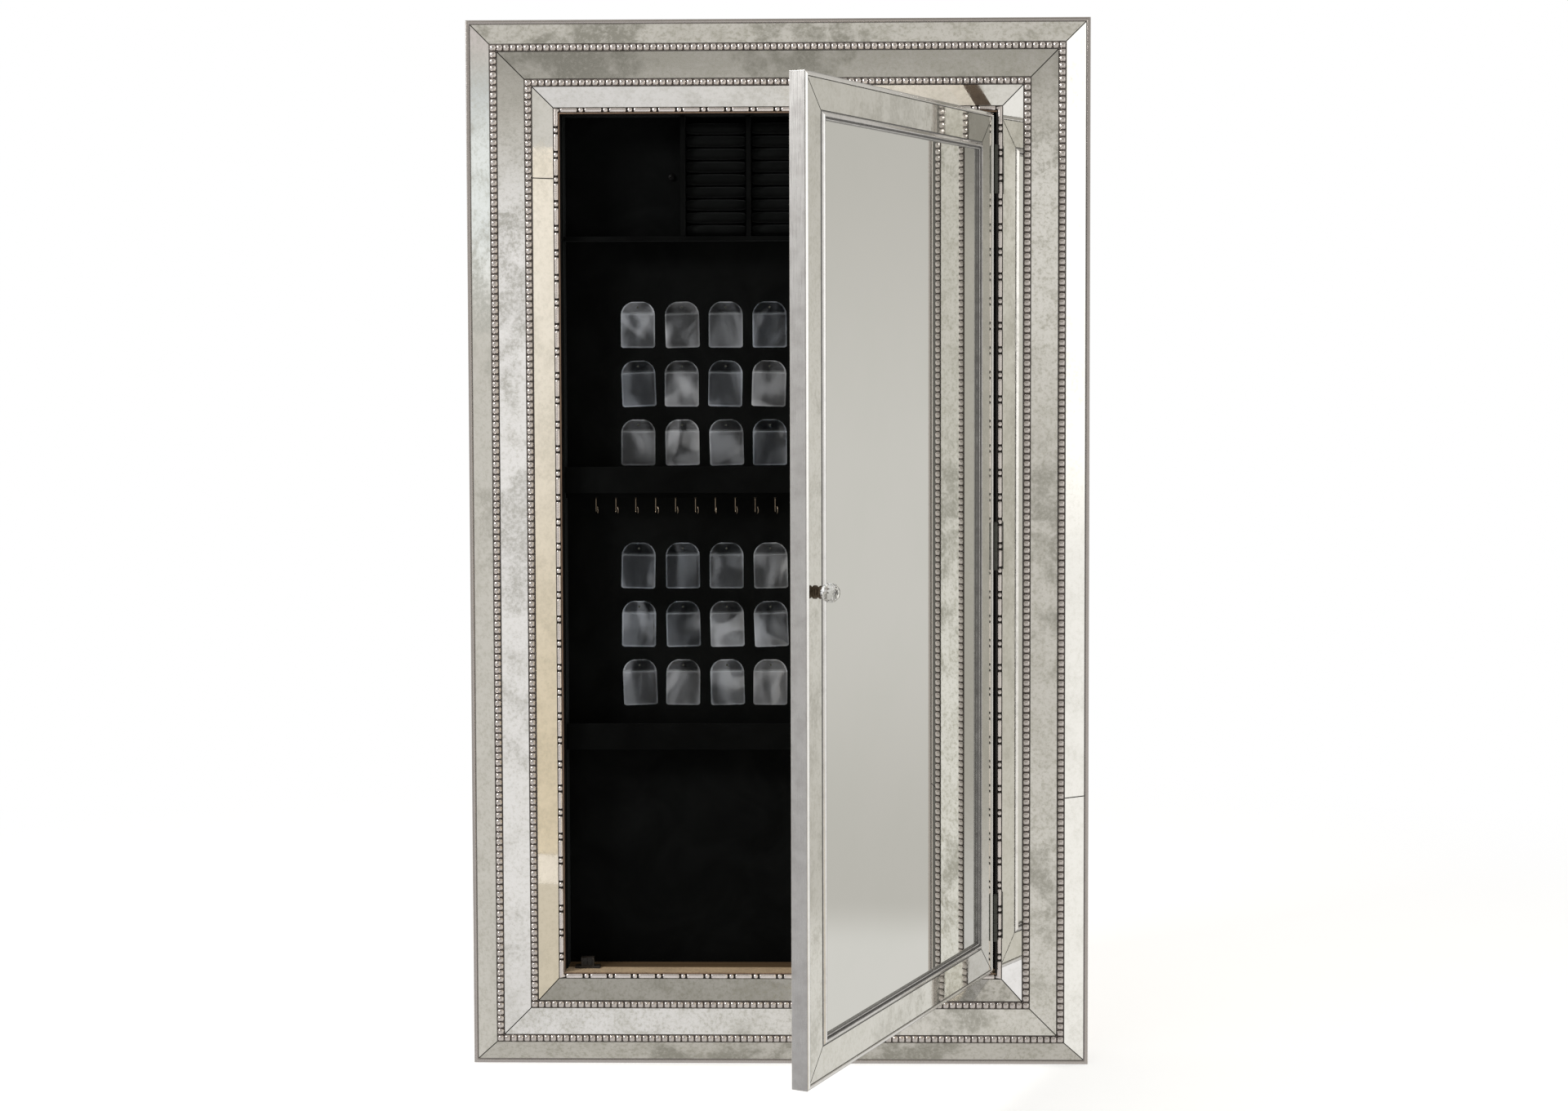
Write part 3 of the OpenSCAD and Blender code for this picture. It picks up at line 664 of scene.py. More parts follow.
BEAD_PITCH = 12.5 * MM
BEAD_SQUARENESS = 0.54  # 1 is round in plan, and 0 is square
TROUGH = -0.3 * MM


def bead_dome(across, along, rise, sides=14, rings=5):
    """Half a bead, a little square in plan, closed underneath."""
    verts, values = [], []

    def soft(c):
        return math.copysign(abs(c) ** BEAD_SQUARENESS, c)

    for k in range(rings):
        tilt = 0.5 * math.pi * k / rings
        spread = math.cos(tilt) ** 0.9
        for c, s in circle(sides, 0.5):
            x, y = across * spread * soft(c), along * spread * soft(s)
            verts.append((x, y, rise * math.sin(tilt)))
            # painted shade: darker towards each bead's foot, where the gaps lie in shade, and patina
            values.append(max(0.0, 1.0 - 1.9 * math.sin(tilt)))
    verts.append((0.0, 0.0, rise))
    values.append(0.0)
    faces = tube(rings, sides, capped=False)
    top = (rings - 1) * sides
    faces += [(top + j, top + (j + 1) % sides, top + sides) for j in range(sides)]
    return verts, faces, values


def beaded_strip(name, inset, node):
    """A strip with a thin fillet at each edge and a row of beads between, one at each
    corner. The strip is darkened as patina and as painted shade in its troughs beside the beads."""
    width = BEAD_W / MM
    half = [(0.0, -3.0, 1.0), (0.0, 0.2, 1.0), (0.4, 0.5, 0.8), (0.8, 0.5, 0.5)]
    half += [(1.0, 0.1, 0.7), (1.1, -0.3, 0.7)]
    build = Build()
    mitred_ring(build, half + [(width - s, h, v) for s, h, v in reversed(half)], FRAME, inset)
    dome, faces, values = bead_dome(6.1 * MM, 5.8 * MM, BEAD_CROWN - TROUGH)
    middle = inset + BEAD_W / 2
    for side in SIDES:
        length = side_length(side, FRAME) - 2 * middle
        count = round(length / BEAD_PITCH)
        # the upright sides hold the corner beads
        upright = side in ("left", "right")
        for k in range(0 if upright else 1, count + 1 if upright else count):
            centre = middle + length * k / count
            points = [on_side(side, centre + v, middle + u, h + TROUGH, FRAME) for u, v, h in dome]
            build.add(points, turned(side, faces), values)
    piece = build.piece(name, [beading], "case", "antique_silver")
    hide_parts(node)


beaded_strip("outer_beading", OUTER_BEAD_S, "outer_bead_strip")
beaded_strip("inner_beading", INNER_BEAD_S, "inner_bead_strip")

REEL_PERIOD = 46 * MM


def reel_radius(along):
    """(radius, darkness) of the bead-and-reel at a distance from the middle of a bead. The
    darkness stands for patina and for painted shade in the grooves and at the feet of the beads.
    """
    d = abs((along + REEL_PERIOD / 2) % REEL_PERIOD - REEL_PERIOD / 2)
    bead, groove, radius = 4.1 * MM, 7.2 * MM, 4.4 * MM
    if d < bead:
        share = math.sqrt(max(0.0, 1 - (d / (bead * 1.04)) ** 2))
        return 2.2 * MM + (radius - 2.2 * MM) * share, max(0.0, 1.0 - 1.9 * share)
    if d < groove:
        return 2.0 * MM, 1.0
    edge = min(1.0, (d - groove) / (1.4 * MM))
    return 2.9 * MM + 1.45 * MM * math.sin(0.5 * math.pi * edge), 0.9 * (1 - edge) ** 1.5


def bead_and_reel():
    """A half-round moulding turned into single beads between long barrels."""
    base_h = REEL_CROWN - 4.5 * MM
    width, face = REEL_W / MM, base_h / MM
    back = face - 3.0
    build = Build()
    # painted shade: the flat base under the barrels is dark all over, as shade beneath them
    flat = [(0.0, back, 1.0), (0.0, face, 1.0), (width, face, 1.0), (width, back, 1.0)]
    mitred_ring(build, flat, FRAME, REEL_S)
    middle = REEL_S + REEL_W / 2
    steps = 12
    arc = [math.pi * (k / steps - 0.5) for k in range(steps + 1)]
    # where the turned outline needs a ring, in mm from the middle of a bead
    offsets = (-23, -18, -12, -8.7, -8.0, -7.3, -7.1, -4.3, -4.0, -3.6, -3.0, -2.0, -1.0)
    offsets = (*offsets, 0.0, *(-x for x in reversed(offsets[1:])))
    for side in SIDES:
        length = side_length(side, FRAME)
        half = length / 2
        reach = half - (REEL_S + REEL_W + 1.0 * MM)
        marks = {-reach, reach}
        count = int(half / REEL_PERIOD) + 1
        for k in range(-count, count + 1):
            for offset in offsets:
                mark = k * REEL_PERIOD + offset * MM
                if abs(mark) < reach - 0.4 * MM:
                    marks.add(round(mark, 7))
        rows = [None, *sorted(marks), None]
        verts, values = [], []
        for row, mark in enumerate(rows):
            radius, patina_and_painted_shade = reel_radius(REEL_PERIOD / 2 if mark is None else mark)
            for a in arc:
                s = middle + radius * math.sin(a)
                rise = base_h - 0.3 * MM + radius * math.cos(a) ** 0.8
                if mark is None:
                    along = s if row == 0 else length - s
                else:
                    along = half + mark
                verts.append(on_side(side, along, s, rise, FRAME))
                # painted shade: each half-round darkens towards its flanks, which turn away from the light
                values.append(min(1.0, patina_and_painted_shade + abs(math.sin(a)) ** 5))
        build.add(verts, turned(side, tube(len(rows), len(arc))), values)
    piece = build.piece("bead_and_reel", [reel_silver], "case", "antique_silver")
    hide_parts("bead_and_reel_trim")


bead_and_reel()


# ---- mirror glass

INNER_FALL = 21 * MM
OUTER_FALL = case_low.y - FACE_Y + 1 * MM
RIM_W = 8 * MM
BORDER_S, MOULDING_S = 8 * MM, 57.8 * MM
joints_along = {("outer", "right"): 514 * MM, ("inner", "left"): 1680 * MM}

for band, outer, inner in (
    ("outer", (RIM_W, OUTER_FALL), (OUTER_BEAD_S, 0.0)),
    ("middle", (MIDDLE_S, 0.0), (INNER_BEAD_S, 0.0)),
    ("inner", (INNER_S, 0.0), (REEL_S, INNER_FALL)),
):
    for side in SIDES:
        build = Build()
        joint = joints_along.get((band, side))
        for ends in ((None, joint), (joint, None)) if joint else ((None, None),):
            glass_strip(build, side, outer, inner, FRAME, ends)
        finish = [mirrors.get(f"{band}_{side}", mirrors[side]), mirror_edge]
        piece = build.piece(f"{band}_glass_{side}", finish, "case", "antique_mirror", False)
        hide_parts(f"{band}_mirror_{side}")

for part, pair in (("sides", SIDES[:2]), ("ends", SIDES[2:])):
    build = Build()
    for side in pair:
        glass_strip(build, side, (BORDER_S, 0.0), (MOULDING_S, 0.0), DOOR)
    finish = [door_mirrors, mirror_edge]
    piece = build.piece(f"door_glass_{part}", finish, "door", "door_antique_mirror", False)
    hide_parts(f"door_border_{part}")


# ---- silver trims


def trim(name, profile, size, material, body, slot, start=0.0):
    build = Build()
    mitred_ring(build, profile, size, start)
    return build.piece(name, [material], body, slot)


def rim():
    """The silvered rim: softly rounded outside, with a quirk beside the glass that is darkened
    as patina and painted shade.
    """
    front, back = -(OUTER_FALL - 1 * MM) / MM, -60.0
    outline = (
        (0.0, -2.2, 0.1), (0.15, -1.2, 0.0), (0.55, -0.5, 0.0), (1.1, -0.12, 0.0),
        (1.8, 0.0, 0.0), (3.6, 0.05, 0.0), (5.2, 0.0, 0.05), (5.9, -0.15, 0.2),
        (6.5, -0.6, 0.6), (6.8, -1.3, 1.0), (7.1, -1.7, 1.0), (8.0, -1.7, 1.0),
    )
    profile = [(0.0, back, 0.2), *((s, front + h, v) for s, h, v in outline), (8.0, back, 1.0)]
    piece = trim("rim_trim", profile, FRAME, rim_silver, "case", "silver_rim")
    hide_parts("outer_rim")


rim()

# a sloping front, a round back, a quirk, and a thin lip over the edge of the large mirror
# the quirks and the back are darkened as patina and painted shade
MOULDING = (
    (0.0, -3.0, 0.9), (0.0, -0.3, 1.0), (1.4, -0.3, 1.0), (1.6, 0.4, 0.8), (2.2, 0.95, 0.15),
    (6.4, 3.7, 0.0), (7.2, 4.1, 0.0), (8.0, 4.25, 0.1), (8.8, 4.0, 0.4), (9.5, 3.3, 0.8),
    (10.0, 2.3, 1.0), (10.3, 1.1, 1.0), (10.4, -0.4, 1.0), (12.1, -0.4, 1.0), (12.25, 0.7, 0.7),
    (12.7, 1.1, 0.3), (13.4, 1.0, 0.3), (14.2, 0.4, 0.8), (14.5, -0.6, 1.0), (14.5, -3.9, 0.6),
    (8.3, -3.9, 1.0), (8.3, -3.0, 1.0),
)
piece = trim(
    "door_moulding_trim", MOULDING, DOOR, moulding_silver, "door", "door_silver", MOULDING_S
)
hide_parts("door_moulding")

# a lip round the door's face, sloping up to its border glass
# its foot by the glass is darkened as patina and painted shade
LIP = (
    (0.3, -1.2, 0.3), (0.3, -0.7, 0.1), (0.8, -0.3, 0.0), (5.0, 2.2, 0.0), (5.8, 2.5, 0.0),
    (6.6, 2.3, 0.0), (7.3, 1.6, 0.0), (7.6, 0.4, 0.5), (7.7, -1.2, 1.0),
)
trim("door_lip_trim", LIP, DOOR, lip_silver, "door", "door_silver")


# ---- finishes of the CAD nodes

dress("face_frame_left face_frame_top", reveal_wood_shaded_inside)
dress("face_frame_right", shadowed_reveal)
dress("face_frame_bottom", lit_sill_wood)
dress("case_side_left case_side_right case_top case_bottom", case_paint, 1.5)
dress("back_panel", plywood)
dress("box_side_left box_side_right box_bottom corner_blocks door_core", box_wood)
dress("back_liner side_liners box_top", pile)
dress("ring_tray upper_shelf_tray lower_shelf_tray necklace_rail", board_pile, 1.2, 3)
dress("catch_body", catch_brown, 1.0, 3)
dress("catch_poles", pole_steel, 0.3)
dress("hinge_leaves_case hinge_leaves_door hinge_pins pocket_pins", hinge_steel)
dress("hinge_screws_case hinge_screws_door", screw_steel)
dress("door_stile_left door_stile_right door_rail_top door_rail_bottom", frame_silver, 1.0, 3)
dress("door_mirror", looking_glass)
dress("door_inner_panel", inner_lacquer)
dress("strike_plate", nickel, 0.3)


# ---- knob

KNOB_X = -DOOR_W / 2 + (BORDER_S + MOULDING_S) / 2
KNOB_Z = DOOR_Z + DOOR_H / 2 - 13 * MM
at_knob = Matrix.Translation((KNOB_X, DOOR_FACE_Y, KNOB_Z)) @ Matrix.Rotation(math.pi / 2, 4, "X")


def knob():
    """A fluted metal rosette and neck, and a crystal cut in twelve-sided tiers."""
    profile = (
        (10.2, 0.0), (11.0, 0.5), (11.0, 1.9), (10.4, 2.5), (9.2, 3.0), (8.6, 3.8), (8.3, 5.2),
        (8.3, 6.6), (8.7, 7.6), (9.8, 8.3), (10.6, 9.0), (10.7, 10.2), (10.0, 11.0), (8.4, 11.6),
        (7.0, 12.4),
    )

    def flute(angle, k):
        return 1.0 - (0.10 * (0.5 + 0.5 * math.cos(16 * angle)) if 4 <= k < 9 else 0.0)

    build = Build()
    build.lathe(profile, at_knob, 96, flute)
    base = build.piece("knob_mount", [dark_bronze], "door", "dark_bronze")
    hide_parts("knob_base")

    # (radius, height, turn in sides)
    tiers = (
        (7.0, 11.8, 0.0), (12.6, 16.6, 0.5), (15.6, 22.0, 0.0), (16.0, 27.5, 0.5),
        (14.4, 34.0, 0.0), (9.4, 39.4, 0.5),
    )
    sides = 12
    verts, faces = [], []
    for radius, height, shift in tiers:
        r = radius * MM
        verts += [(r * c, r * s, height * MM) for c, s in circle(sides, shift)]
    for k in range(len(tiers) - 1):
        low, high = k * sides, (k + 1) * sides
        for j in range(sides):
            m = (j + 1) % sides
            if tiers[k][2] < tiers[k + 1][2]:
                faces += [(low + j, low + m, high + j), (low + m, high + m, high + j)]
            else:
                faces += [(low + j, high + m, high + j), (low + j, low + m, high + m)]
    faces.append(tuple(reversed(range(sides))))
    tip = len(verts)
    verts.append((0.0, 0.0, 41.2 * MM))
    top = (len(tiers) - 1) * sides
    faces += [(top + j, top + (j + 1) % sides, tip) for j in range(sides)]
    build = Build()
    build.add(placed(verts, at_knob), faces)
    stone = build.piece("knob_stone", [cut_glass], "door", "crystal", False)
    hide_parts("knob_crystal")


knob()


# ---- pockets, hooks, rolls, screws


def pockets():
    """Clear pockets hung from pins: a flat back, a front that bulges below the mouth, and the
    single-ply flap above it. Each hangs a little differently."""
    width, height, arch, corner = 65 * MM, 88 * MM, 26 * MM, 4 * MM
    mouth = 0.74  # how far up the pocket opens
    pin_z = height - 11 * MM
    dice = random.Random(11)
    rows = [0.0, 0.02, 0.05, 0.1, 0.2, 0.32, 0.44, 0.56, 0.67, mouth - 0.012, mouth, 0.79, 0.84]
    rows += [0.88, 0.915, 0.945, 0.968, 0.985, 0.996]
    across = [math.sin(0.5 * math.pi * u) for u in np.linspace(-1, 1, 13)]

    def half_width(v):
        z = v * height
        half = width / 2
        if z < corner:
            half -= corner - math.sqrt(corner**2 - (corner - z) ** 2)
        elif z > height - arch:
            rise = z - (height - arch)
            half -= arch - math.sqrt(max(0.0, arch**2 - rise**2))
        return half

    n, count = len(across), len(rows) * len(across)
    faces = []
    for k in range(len(rows) - 1):
        for j in range(n - 1):
            a = k * n + j
            b = a + count
            faces.append((a, a + n, a + n + 1, a + 1))
            faces.append((b, b + 1, b + n + 1, b + n))
    walls = [(k * n, n, False) for k in range(len(rows) - 1)]
    walls += [(k * n + n - 1, n, True) for k in range(len(rows) - 1)]
    walls += [(j, 1, True) for j in range(n - 1)]
    walls += [(count - n + j, 1, False) for j in range(n - 1)]
    for a, stride, flip in walls:
        quad = (a, a + count, a + count + stride, a + stride)
        faces.append(tuple(reversed(quad)) if flip else quad)

    middle_x, pitch_x, pitch_z = -18 * MM, 84 * MM, 112.5 * MM
    spots = [
        (middle_x + (k - 3) * pitch_x, lowest + row * pitch_z)
        for lowest in (1137.5 * MM, 676.0 * MM)
        for row in range(3)
        for k in range(7)
    ]
    edge, shade = [], []
    build = Build()
    for pin_x, foot_z in spots:
        lean = math.radians(dice.uniform(-2.2, 2.2))
        slip = dice.uniform(-1.2, 1.2) * MM
        belly = dice.uniform(2.0, 5.0) * MM
        skew = dice.uniform(-0.35, 0.35)
        tone = dice.choice((0.0, 0.15, 0.3, 0.35, 0.4, 0.45, 0.75)) + dice.uniform(0, 0.1)
        wave = [(dice.uniform(30, 90), dice.uniform(20, 60), dice.uniform(0, 6)) for _ in range(3)]
        verts = []
        for layer, v, u in ((layer, v, u) for layer in (0, 1) for v in rows for u in across):
            x, z = u * half_width(v), v * height
            depth = 0.25 * MM
            if layer:
                depth += 0.35 * MM
                if v < mouth:
                    swell = math.sin(math.pi * min(1.0, 0.12 + 0.5 * v / mouth + skew * 0.1))
                    depth += belly * (1 - u * u) ** 0.8 * swell + 0.2 * MM
            ripple = sum(math.sin(a * x + b * z + c) for a, b, c in wave)
            depth += 0.25 * MM * (1 + ripple / 3) * (1 - u * u)
            above = z - pin_z
            turned_x = x * math.cos(lean) - above * math.sin(lean)
            turned_z = x * math.sin(lean) + above * math.cos(lean) + pin_z
            verts.append((pin_x + turned_x + slip * 0.3, LINER_Y - depth, foot_z + turned_z))
            rim_u, rim_v = abs(u) > 0.93, v < 0.03 or v > 0.97
            lip = layer and abs(v - mouth) < 0.013
            edge.append(1.0 if rim_u or rim_v or lip else (-1.0 if v >= mouth else 0.0))
            shade.append(tone)
        build.add(verts, faces)
    values = {"edge": edge, "shade": shade}
    piece = build.piece("vinyl_pockets", [film], "case", "clear_vinyl", values=values)
    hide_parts("clear_pockets")


pockets()


def sweep(build, points, thick, thin, sides=10):
    """A round wire along points, closed at both ends, whose radius goes from thick to thin."""
    across = None
    verts = []
    for k, point in enumerate(points):
        ahead = points[min(k + 1, len(points) - 1)] - points[max(k - 1, 0)]
        ahead.normalize()
        if across is None:
            across = ahead.orthogonal().normalized()
        across = (across - ahead * across.dot(ahead)).normalized()
        other = ahead.cross(across)
        r = thick + (thin - thick) * k / (len(points) - 1)
        verts += [point + across * (r * c) + other * (r * s) for c, s in circle(sides)]
    build.add(verts, tube(len(points), sides))


def cup_hooks():
    """Small screw-in cup hooks under the necklace rail, each with a round collar and a ball."""
    rail_low, rail_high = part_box("necklace_rail")
    y, top = (rail_low.y + rail_high.y) / 2, rail_low.z
    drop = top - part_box("necklace_hooks")[0].z
    r = 7.2 * MM
    centre_z = -(drop - r - 1.2 * MM)
    ball = [
        (1.6 * math.sin(math.pi * j / 8) + 0.02, -1.6 * math.cos(math.pi * j / 8))
        for j in range(9)
    ]
    collar = [(1.5, -2.6), (2.4, -2.3), (3.4, -1.2), (4.1, -0.7), (4.3, -0.35), (4.2, 0.0)]
    count, middle_x, pitch = 19, -8 * MM, 38 * MM
    dice = random.Random(5)
    build = Build()
    for k in range(count):
        x = middle_x + (k - (count - 1) / 2) * pitch
        yaw = math.radians(18 + dice.uniform(-9, 9))
        at = Matrix.Translation((x, y, top)) @ Matrix.Rotation(yaw, 4, "Z")
        path = [(0, 0, 4 * MM), (0, 0, 0), (0, 0, -0.30 * drop), (0, 0, -0.48 * drop)]
        for j in range(17):
            a = math.radians(4 - 236 * j / 16)
            path.append((0, -r + r * math.cos(a), centre_z + r * math.sin(a)))
        path = placed(path, at)
        sweep(build, path, 1.2 * MM, 0.95 * MM)
        build.lathe(ball, Matrix.Translation(path[-1]), 12)
        build.lathe(collar, at, 20)
    piece = build.piece("cup_hooks", [bronze], "case", "bronze_wire")
    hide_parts("necklace_hooks")


cup_hooks()


def screw_head(build, place, radius, dome=0.35):
    """A low screw head with a cross recess. place takes +Z to the way the head faces, and dome
    is how high it rises, in radii."""
    arm, wide = 0.62 * radius, 0.17 * radius
    plus = []
    for quarter in range(4):
        c, s = math.cos(math.pi * quarter / 2), math.sin(math.pi * quarter / 2)
        for px, py in ((wide, -wide), (arm, -wide), (arm, 0), (arm, wide)):
            plus.append((px * c - py * s, px * s + py * c))
    verts = []
    for scale, height in ((1.0, -0.25), (1.0, 0.0), (0.86, dome * 0.7)):
        for px, py in plus:
            a = math.atan2(py, px)
            r = radius * scale
            verts.append((r * math.cos(a), r * math.sin(a), radius * height))
    verts += [(px, py, radius * dome) for px, py in plus]
    verts += [(px * 0.8, py * 0.8, radius * (dome - 0.38)) for px, py in plus]
    build.add(placed(verts, place), tube(5, len(plus)))


def facing(x, y, z, way):
    """Puts a form made along +Z at a point, facing way."""
    turn = Vector(way).to_track_quat("Z", "Y").to_matrix().to_4x4()
    return Matrix.Translation((x, y, z)) @ turn


def screws():
    """Black screws through the anchor holes, and plated ones round the back."""
    anchor = next(m for m in frame["record"]["mounts"] if m["name"] == "wall_anchor")
    shank = [(2.2, -15.0), (2.6, -14.8), (2.6, 0.5)]
    build = Build()
    half = anchor["dims"]["spacing_x_mm"] * MM / 2
    for x in (-half, half):
        place = facing(x, LINER_Y - 1.2 * MM, anchor["pos_m"][2], (0, -1, 0))
        screw_head(build, place, 7 * MM)
        build.lathe(shank, place, 16)
    build.piece("wall_screws", [black_screw], "case", "dark_bronze")

    low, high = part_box("back_panel")
    inset = 13 * MM
    x0, x1, z0, z1 = low.x + inset, high.x - inset, low.z + inset, high.z - inset
    spots = [(x, z0 + (z1 - z0) * k / 7) for k in range(8) for x in (x0, x1)]
    spots += [(x0 + (x1 - x0) * k / 4, z) for k in range(1, 4) for z in (z0, z1)]
    build = Build()
    for x, z in spots:
        screw_head(build, facing(x, high.y - 0.2 * MM, z, (0, 1, 0)), 4.2 * MM, 0.2)
    build.piece("back_screws", [screw_steel], "case", "nickel")


screws()


def ring_roll_mesh(width, thick, depth):
    """One padded roll lying across: its front swells, and its back lies flat on the board."""
    along, round_it = 15, 20
    verts = []
    for i in range(along):
        t = -1 + 2 * i / (along - 1)
        pull = 1 - 0.16 * abs(t) ** 6
        for c, s in circle(round_it, 0.5):
            y = math.copysign(abs(c) ** 0.7, c) * depth / 2
            z = math.copysign(abs(s) ** 0.8, s) * thick / 2
            verts.append((t * width / 2, y * pull, z * pull))
    return verts, [tuple(reversed(face)) for face in tube(along, round_it)]


SWELL_STEPS = 15
MOST_SWELL = 1.6 * MM


def swollen(verts, faces):
    """The same closed form after its cover has been blown out a little by its filling."""
    mesh = bpy.data.meshes.new("roll")
    mesh.from_pydata([tuple(v) for v in verts], [], faces)
    pad = bpy.data.objects.new("roll", mesh)
    bpy.context.scene.collection.objects.link(pad)
    remesh = pad.modifiers.new("remesh", "REMESH")
    remesh.mode = "VOXEL"
    remesh.voxel_size = 3.5 * MM
    graph = bpy.context.evaluated_depsgraph_get()
    before = bpy.data.meshes.new_from_object(pad.evaluated_get(graph))
    pad.modifiers.clear()
    pad.data = before
    start = np.array([v.co[:] for v in before.vertices])
    cloth = pad.modifiers.new("cloth", "CLOTH")
    cloth.settings.use_pressure = True
    cloth.settings.uniform_pressure_force = 4.0
    cloth.settings.effector_weights.gravity = 0.0
    cloth.settings.quality = 5
    scene = bpy.context.scene
    for step in range(1, SWELL_STEPS + 1):
        scene.frame_set(step)
    graph = bpy.context.evaluated_depsgraph_get()
    after = bpy.data.meshes.new_from_object(pad.evaluated_get(graph))
    end = np.array([v.co[:] for v in after.vertices])
    scene.frame_set(1)
    pad.modifiers.clear()
    move = end - start
    far = np.linalg.norm(move, axis=1, keepdims=True)
    start = start + move * np.minimum(1.0, MOST_SWELL / np.maximum(far, 1e-9))
    quads = [tuple(p.vertices) for p in before.polygons]
    bpy.data.objects.remove(pad)
    return start, quads


def ring_rolls():
    """Three pads of nine velvet rolls, between which rings are pushed."""
    bays = ((-175.9, -60.1), (-51.9, 51.9), (60.1, 175.9))
    low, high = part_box("ring_rolls")
    pitch, depth = (high.z - low.z) / 9, high.y - low.y
    # the roll is made this long and stretched to each bay, and thinner than its place by what
    # it swells
    long = 100 * MM
    roll, quads = swollen(*ring_roll_mesh(long, pitch - 3.0 * MM, depth - 5.0 * MM))
    dice = random.Random(3)
    for index, (left, right) in enumerate(bays):
        build = Build()
        stretch = ((right - left) * MM - 4 * MM) / long
        for k in range(9):
            cx, cy = (left + right) / 2 * MM, (low.y + high.y) / 2 + 0.6 * MM
            cz = low.z + (k + 0.5) * pitch
            lift, flip = dice.uniform(-0.4, 0.4) * MM, dice.choice((-1, 1))
            points = []
            for x, y, z in roll:
                crush = 1.0 - 0.02 * math.sin(37 * x * flip + k)
                points.append((cx + x * stretch * flip, cy + y * crush, cz + z * 0.985 + lift))
            ordered = quads if flip > 0 else [tuple(reversed(q)) for q in quads]
            build.add(points, ordered)
        piece = build.piece(f"ring_pad_{index + 1}", [roll_pile], "case", "black_velvet")
        if index == 0:
            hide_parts("ring_rolls")


ring_rolls()


# ---- camera, light and floor

camera_data = bpy.data.cameras.new("camera")
camera_data.sensor_width = 36.0
camera_data.lens = 55.58
camera_data.shift_y = -0.0627604
camera_data.clip_end = 100
camera = bpy.data.objects.new("camera", camera_data)
bpy.context.scene.collection.objects.link(camera)
camera.location = (0.1032, -4.5952, 1.3705)
camera.rotation_euler = [math.radians(turn) for turn in (87.304989, 0.162820, 1.161336)]
bpy.context.scene.camera = camera


def studio_world():
    """White to the camera. In the mirrors it is a pale studio: bright to the right, grey behind
    and overhead, and a pale floor below. x, y and z are a direction, and each number is how
    bright the studio is that way."""
    world = bpy.data.worlds.new("studio")
    world.use_nodes = True
    tree = world.node_tree
    tree.nodes.clear()
    g = Graph(tree)
    x, y, z = g.parts(g.coords(kind="Generated"))

    step = g.step

    def blend(base, *layers):
        """Lays each (share, value) over what is below it."""
        for share, value in layers:
            base = base * (1 - share) + share * value
        return base

    # ahead of the armoire: lighter to the left and low down, dimmer overhead
    to_left, far_left = step(x, 0.04, -0.10), step(x, -0.15, -0.19)
    dim_left = far_left * step(z, -0.25, -0.17)
    left_part = 0.60 + step(z, 0.10, 0.03) * 0.21
    left_part = left_part - step(z, -0.05, -0.15) * 0.04 - step(z, -0.22, -0.26) * 0.06
    left_part = left_part - far_left * 0.15 - dim_left * 0.22
    right_part = 0.67 - step(z, 0.03, -0.05) * 0.11 + step(z, -0.14, -0.20) * 0.05
    ahead = blend(right_part, (to_left, left_part), (step(z, 0.06, 0.13), 0.33))
    # the left wall, with a lamp's soft glow part way up
    glow = step(z, 0.0, 0.035) * step(z, 0.075, 0.11, 1.0, 0.0) * 0.27
    left_wall = blend(0.58 + glow, (step(x, -0.86, -0.83), 0.80))
    # the right wall is bright in front and dark behind
    right_front = 0.62 + step(z, 0.0, -0.16) * step(y, -0.61, -0.64) * 0.18
    right_wall = 0.90 + step(z, -0.10, -0.02) * 0.34
    low = blend(
        0.54 + step(z, 0.10, -0.06) * 0.09 - step(z, -0.10, -0.22) * 0.09,
        (step(z, -0.225, -0.245), 0.69),
        (step(y, -0.30, -0.50), ahead),
        (step(x, -0.68, -0.76) * step(y, 0.0, -0.2), left_wall),
        (step(x, 0.64, 0.74) * step(y, -0.3, -0.45), right_front),
        (step(x, 0.83, 0.89) * step(z, -0.50, -0.25) * step(y, 0.0, -0.2), right_wall),
        (step(x, 0.84, 0.90) * step(y, 0.0, 0.15), 0.13),
        (step(z, 0.40, 0.60), 0.34),
        (step(z, 0.60, 0.66) * step(x, 0.02, 0.07), 0.50),
        (step(z, 0.76, 0.90), 0.55),
        (step(z, -0.55, -0.70), 0.68),
        (step(z, -0.88, -0.96), 0.47),
    )
    pale = to_left * step(y, -0.30, -0.50) * step(z, 0.10, 0.04) * (1 - dim_left)
    warm = step(x, 0.66, 0.72) * step(y, -0.30, -0.40) * step(y, -0.64, -0.61)
    warm = warm * step(z, -0.14, -0.20) * step(z, -0.55, -0.45) * step(x, 0.83, 0.86, 1.0, 0.0)
    cool = step(x, -0.84, -0.87) * step(z, 0.01, 0.05) * step(z, 0.10, 0.12, 1.0, 0.0)
    rosy = step(x, -0.84, -0.87) * step(z, 0.11, 0.125) * step(z, 0.5, 0.4)
    tint = g.mix(step(low, 0.4, 0.9), (1.0, 0.962, 0.893), (1.0, 0.988, 0.965))
    for share, colour in (
        (pale, (1.0, 0.985, 0.993)),
        (warm, (1.0, 0.90, 0.73)),
        (cool, (0.95, 0.99, 1.0)),
        (rosy, (1.0, 0.93, 0.92)),
    ):
        tint = g.mix(share, tint, colour)
    seen = g.node("LightPath", output="Is Camera Ray")
    studio = g.node("Background", {"Color": tint, "Strength": low})
    white = g.node("Background", {"Color": (1, 1, 1), "Strength": 1.0})
    g.finish("World", g.node("MixShader", {0: seen, 1: studio, 2: white}))
    bpy.context.scene.world = world


studio_world()


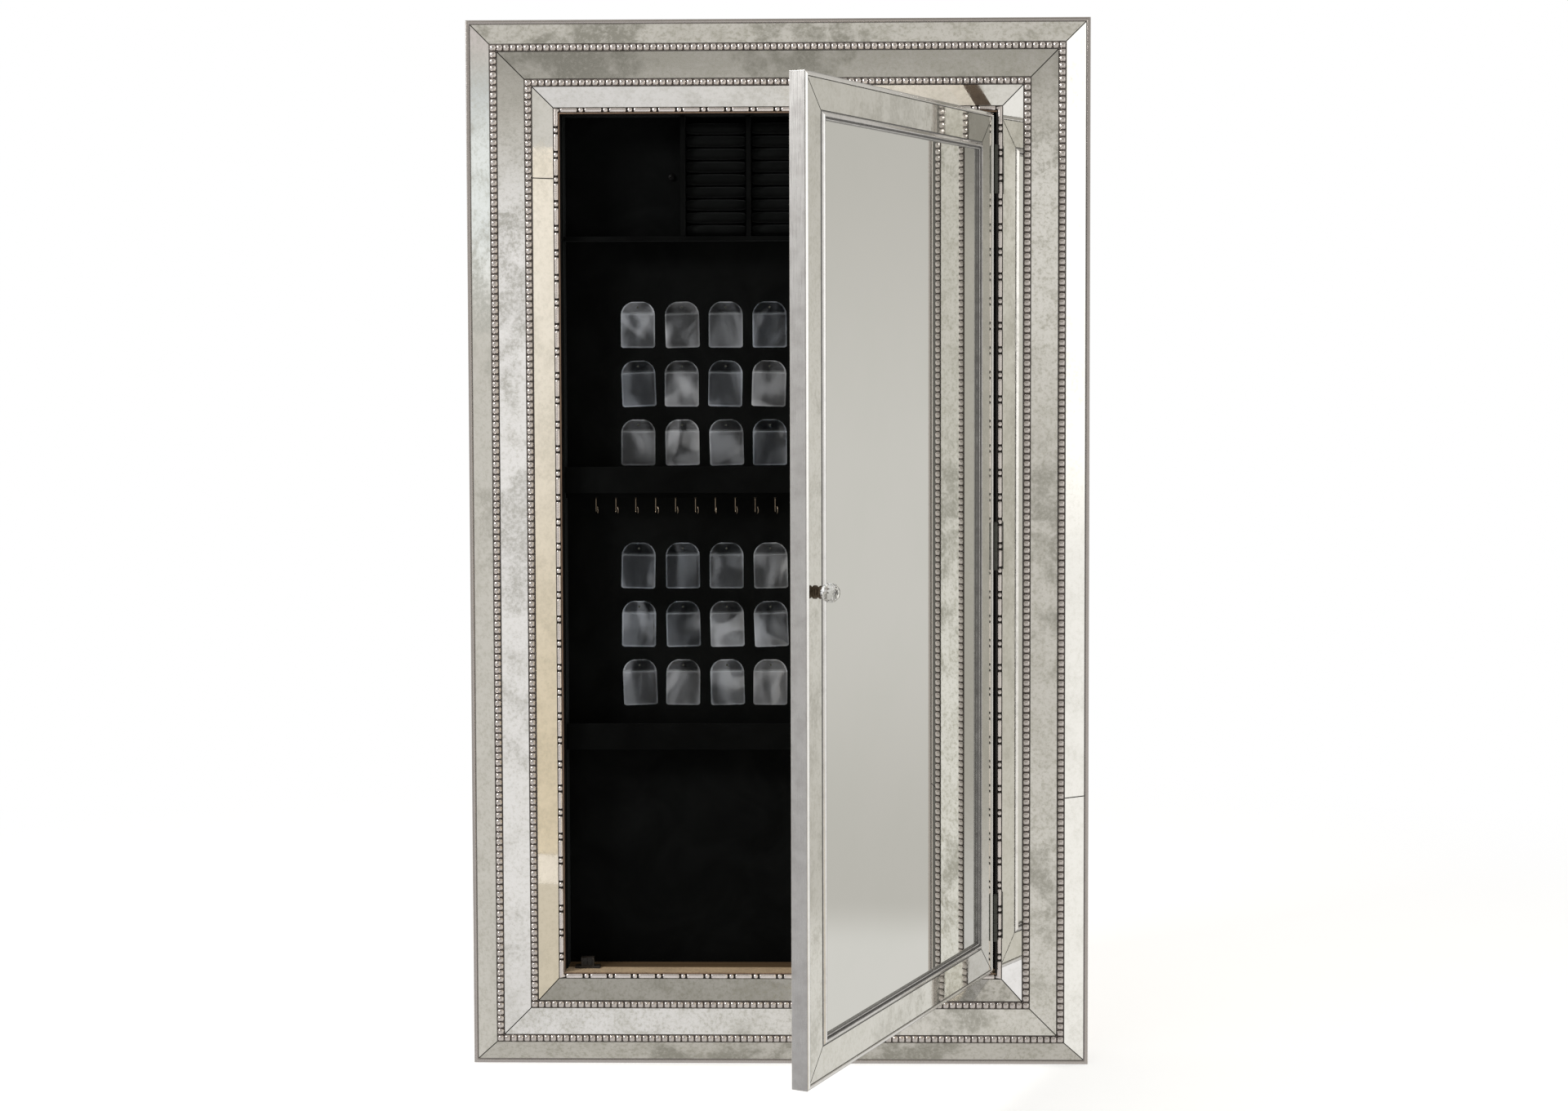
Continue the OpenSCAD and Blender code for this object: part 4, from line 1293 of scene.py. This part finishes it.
def softbox(name, place, aim, size, watts, colour=(1, 1, 1), mirrored=False):
    data = bpy.data.lights.new(name, "AREA")
    data.shape = "RECTANGLE"
    data.size, data.size_y = size
    data.energy = watts
    data.color = colour
    lamp = bpy.data.objects.new(name, data)
    lamp.location = place
    way = Vector(aim) - Vector(place)
    lamp.rotation_euler = way.to_track_quat("-Z", "Y").to_euler()
    lamp.visible_glossy = mirrored
    bpy.context.scene.collection.objects.link(lamp)


softbox("key_left", (-3.2, -2.2, 3.4), (0, 0, 0.9), (1.0, 1.0), 130, (1.0, 0.98, 0.95), True)
softbox("fill_right", (3.4, -2.0, 2.2), (0, 0, 1.0), (1.6, 2.2), 50, (1.0, 0.99, 0.97))
softbox("top", (0.0, -0.6, 4.4), (0, 0, 1.0), (2.6, 2.0), 50)


def studio_floor():
    """A pale floor that fades to white away from the armoire."""
    radius, rings, sides = 14.0, 24, 96
    verts = [(0.0, -0.3, 0.0)]
    for k in range(1, rings + 1):
        r = radius * (k / rings) ** 1.6
        verts += [(r * c, r * s - 0.3, -0.0005) for c, s in circle(sides)]
    faces = [(0, 1 + j, 1 + (j + 1) % sides) for j in range(sides)]
    for k in range(rings - 1):
        low, high = 1 + k * sides, 1 + (k + 1) * sides
        for j in range(sides):
            m = (j + 1) % sides
            faces.append((low + j, high + j, high + m, low + m))
    mesh = bpy.data.meshes.new("floor")
    mesh.from_pydata(verts, [], faces)
    material = bpy.data.materials.new("floor")
    material.use_nodes = True
    tree = material.node_tree
    tree.nodes.clear()
    g = Graph(tree)
    place = g.coords(shift=(0, 0.3, 0))
    x, y, _ = g.parts(place)
    away = g.math("SQRT", x * x + y * y)
    soft = g.noise(place, 6.0, 3.0, 0.5)
    matt = g.node("BsdfDiffuse", {"Color": g.mix(soft, (0.60, 0.60, 0.59), (0.62, 0.62, 0.61))})
    glow = g.node("Emission", {"Color": (1, 1, 1), "Strength": 0.55})
    far = g.node("Emission", {"Color": (1, 1, 1), "Strength": 1.0})
    near = g.node("AddShader", {0: matt, 1: glow})
    g.finish("Material", g.node("MixShader", {0: g.step(away, 1.2, 3.6), 1: near, 2: far}))
    mesh.materials.append(material)
    floor = bpy.data.objects.new("floor", mesh)
    floor.visible_glossy = False
    bpy.context.scene.collection.objects.link(floor)


studio_floor()

scene = bpy.context.scene
scene.view_settings.view_transform = "Standard"
scene.view_settings.look = "None"
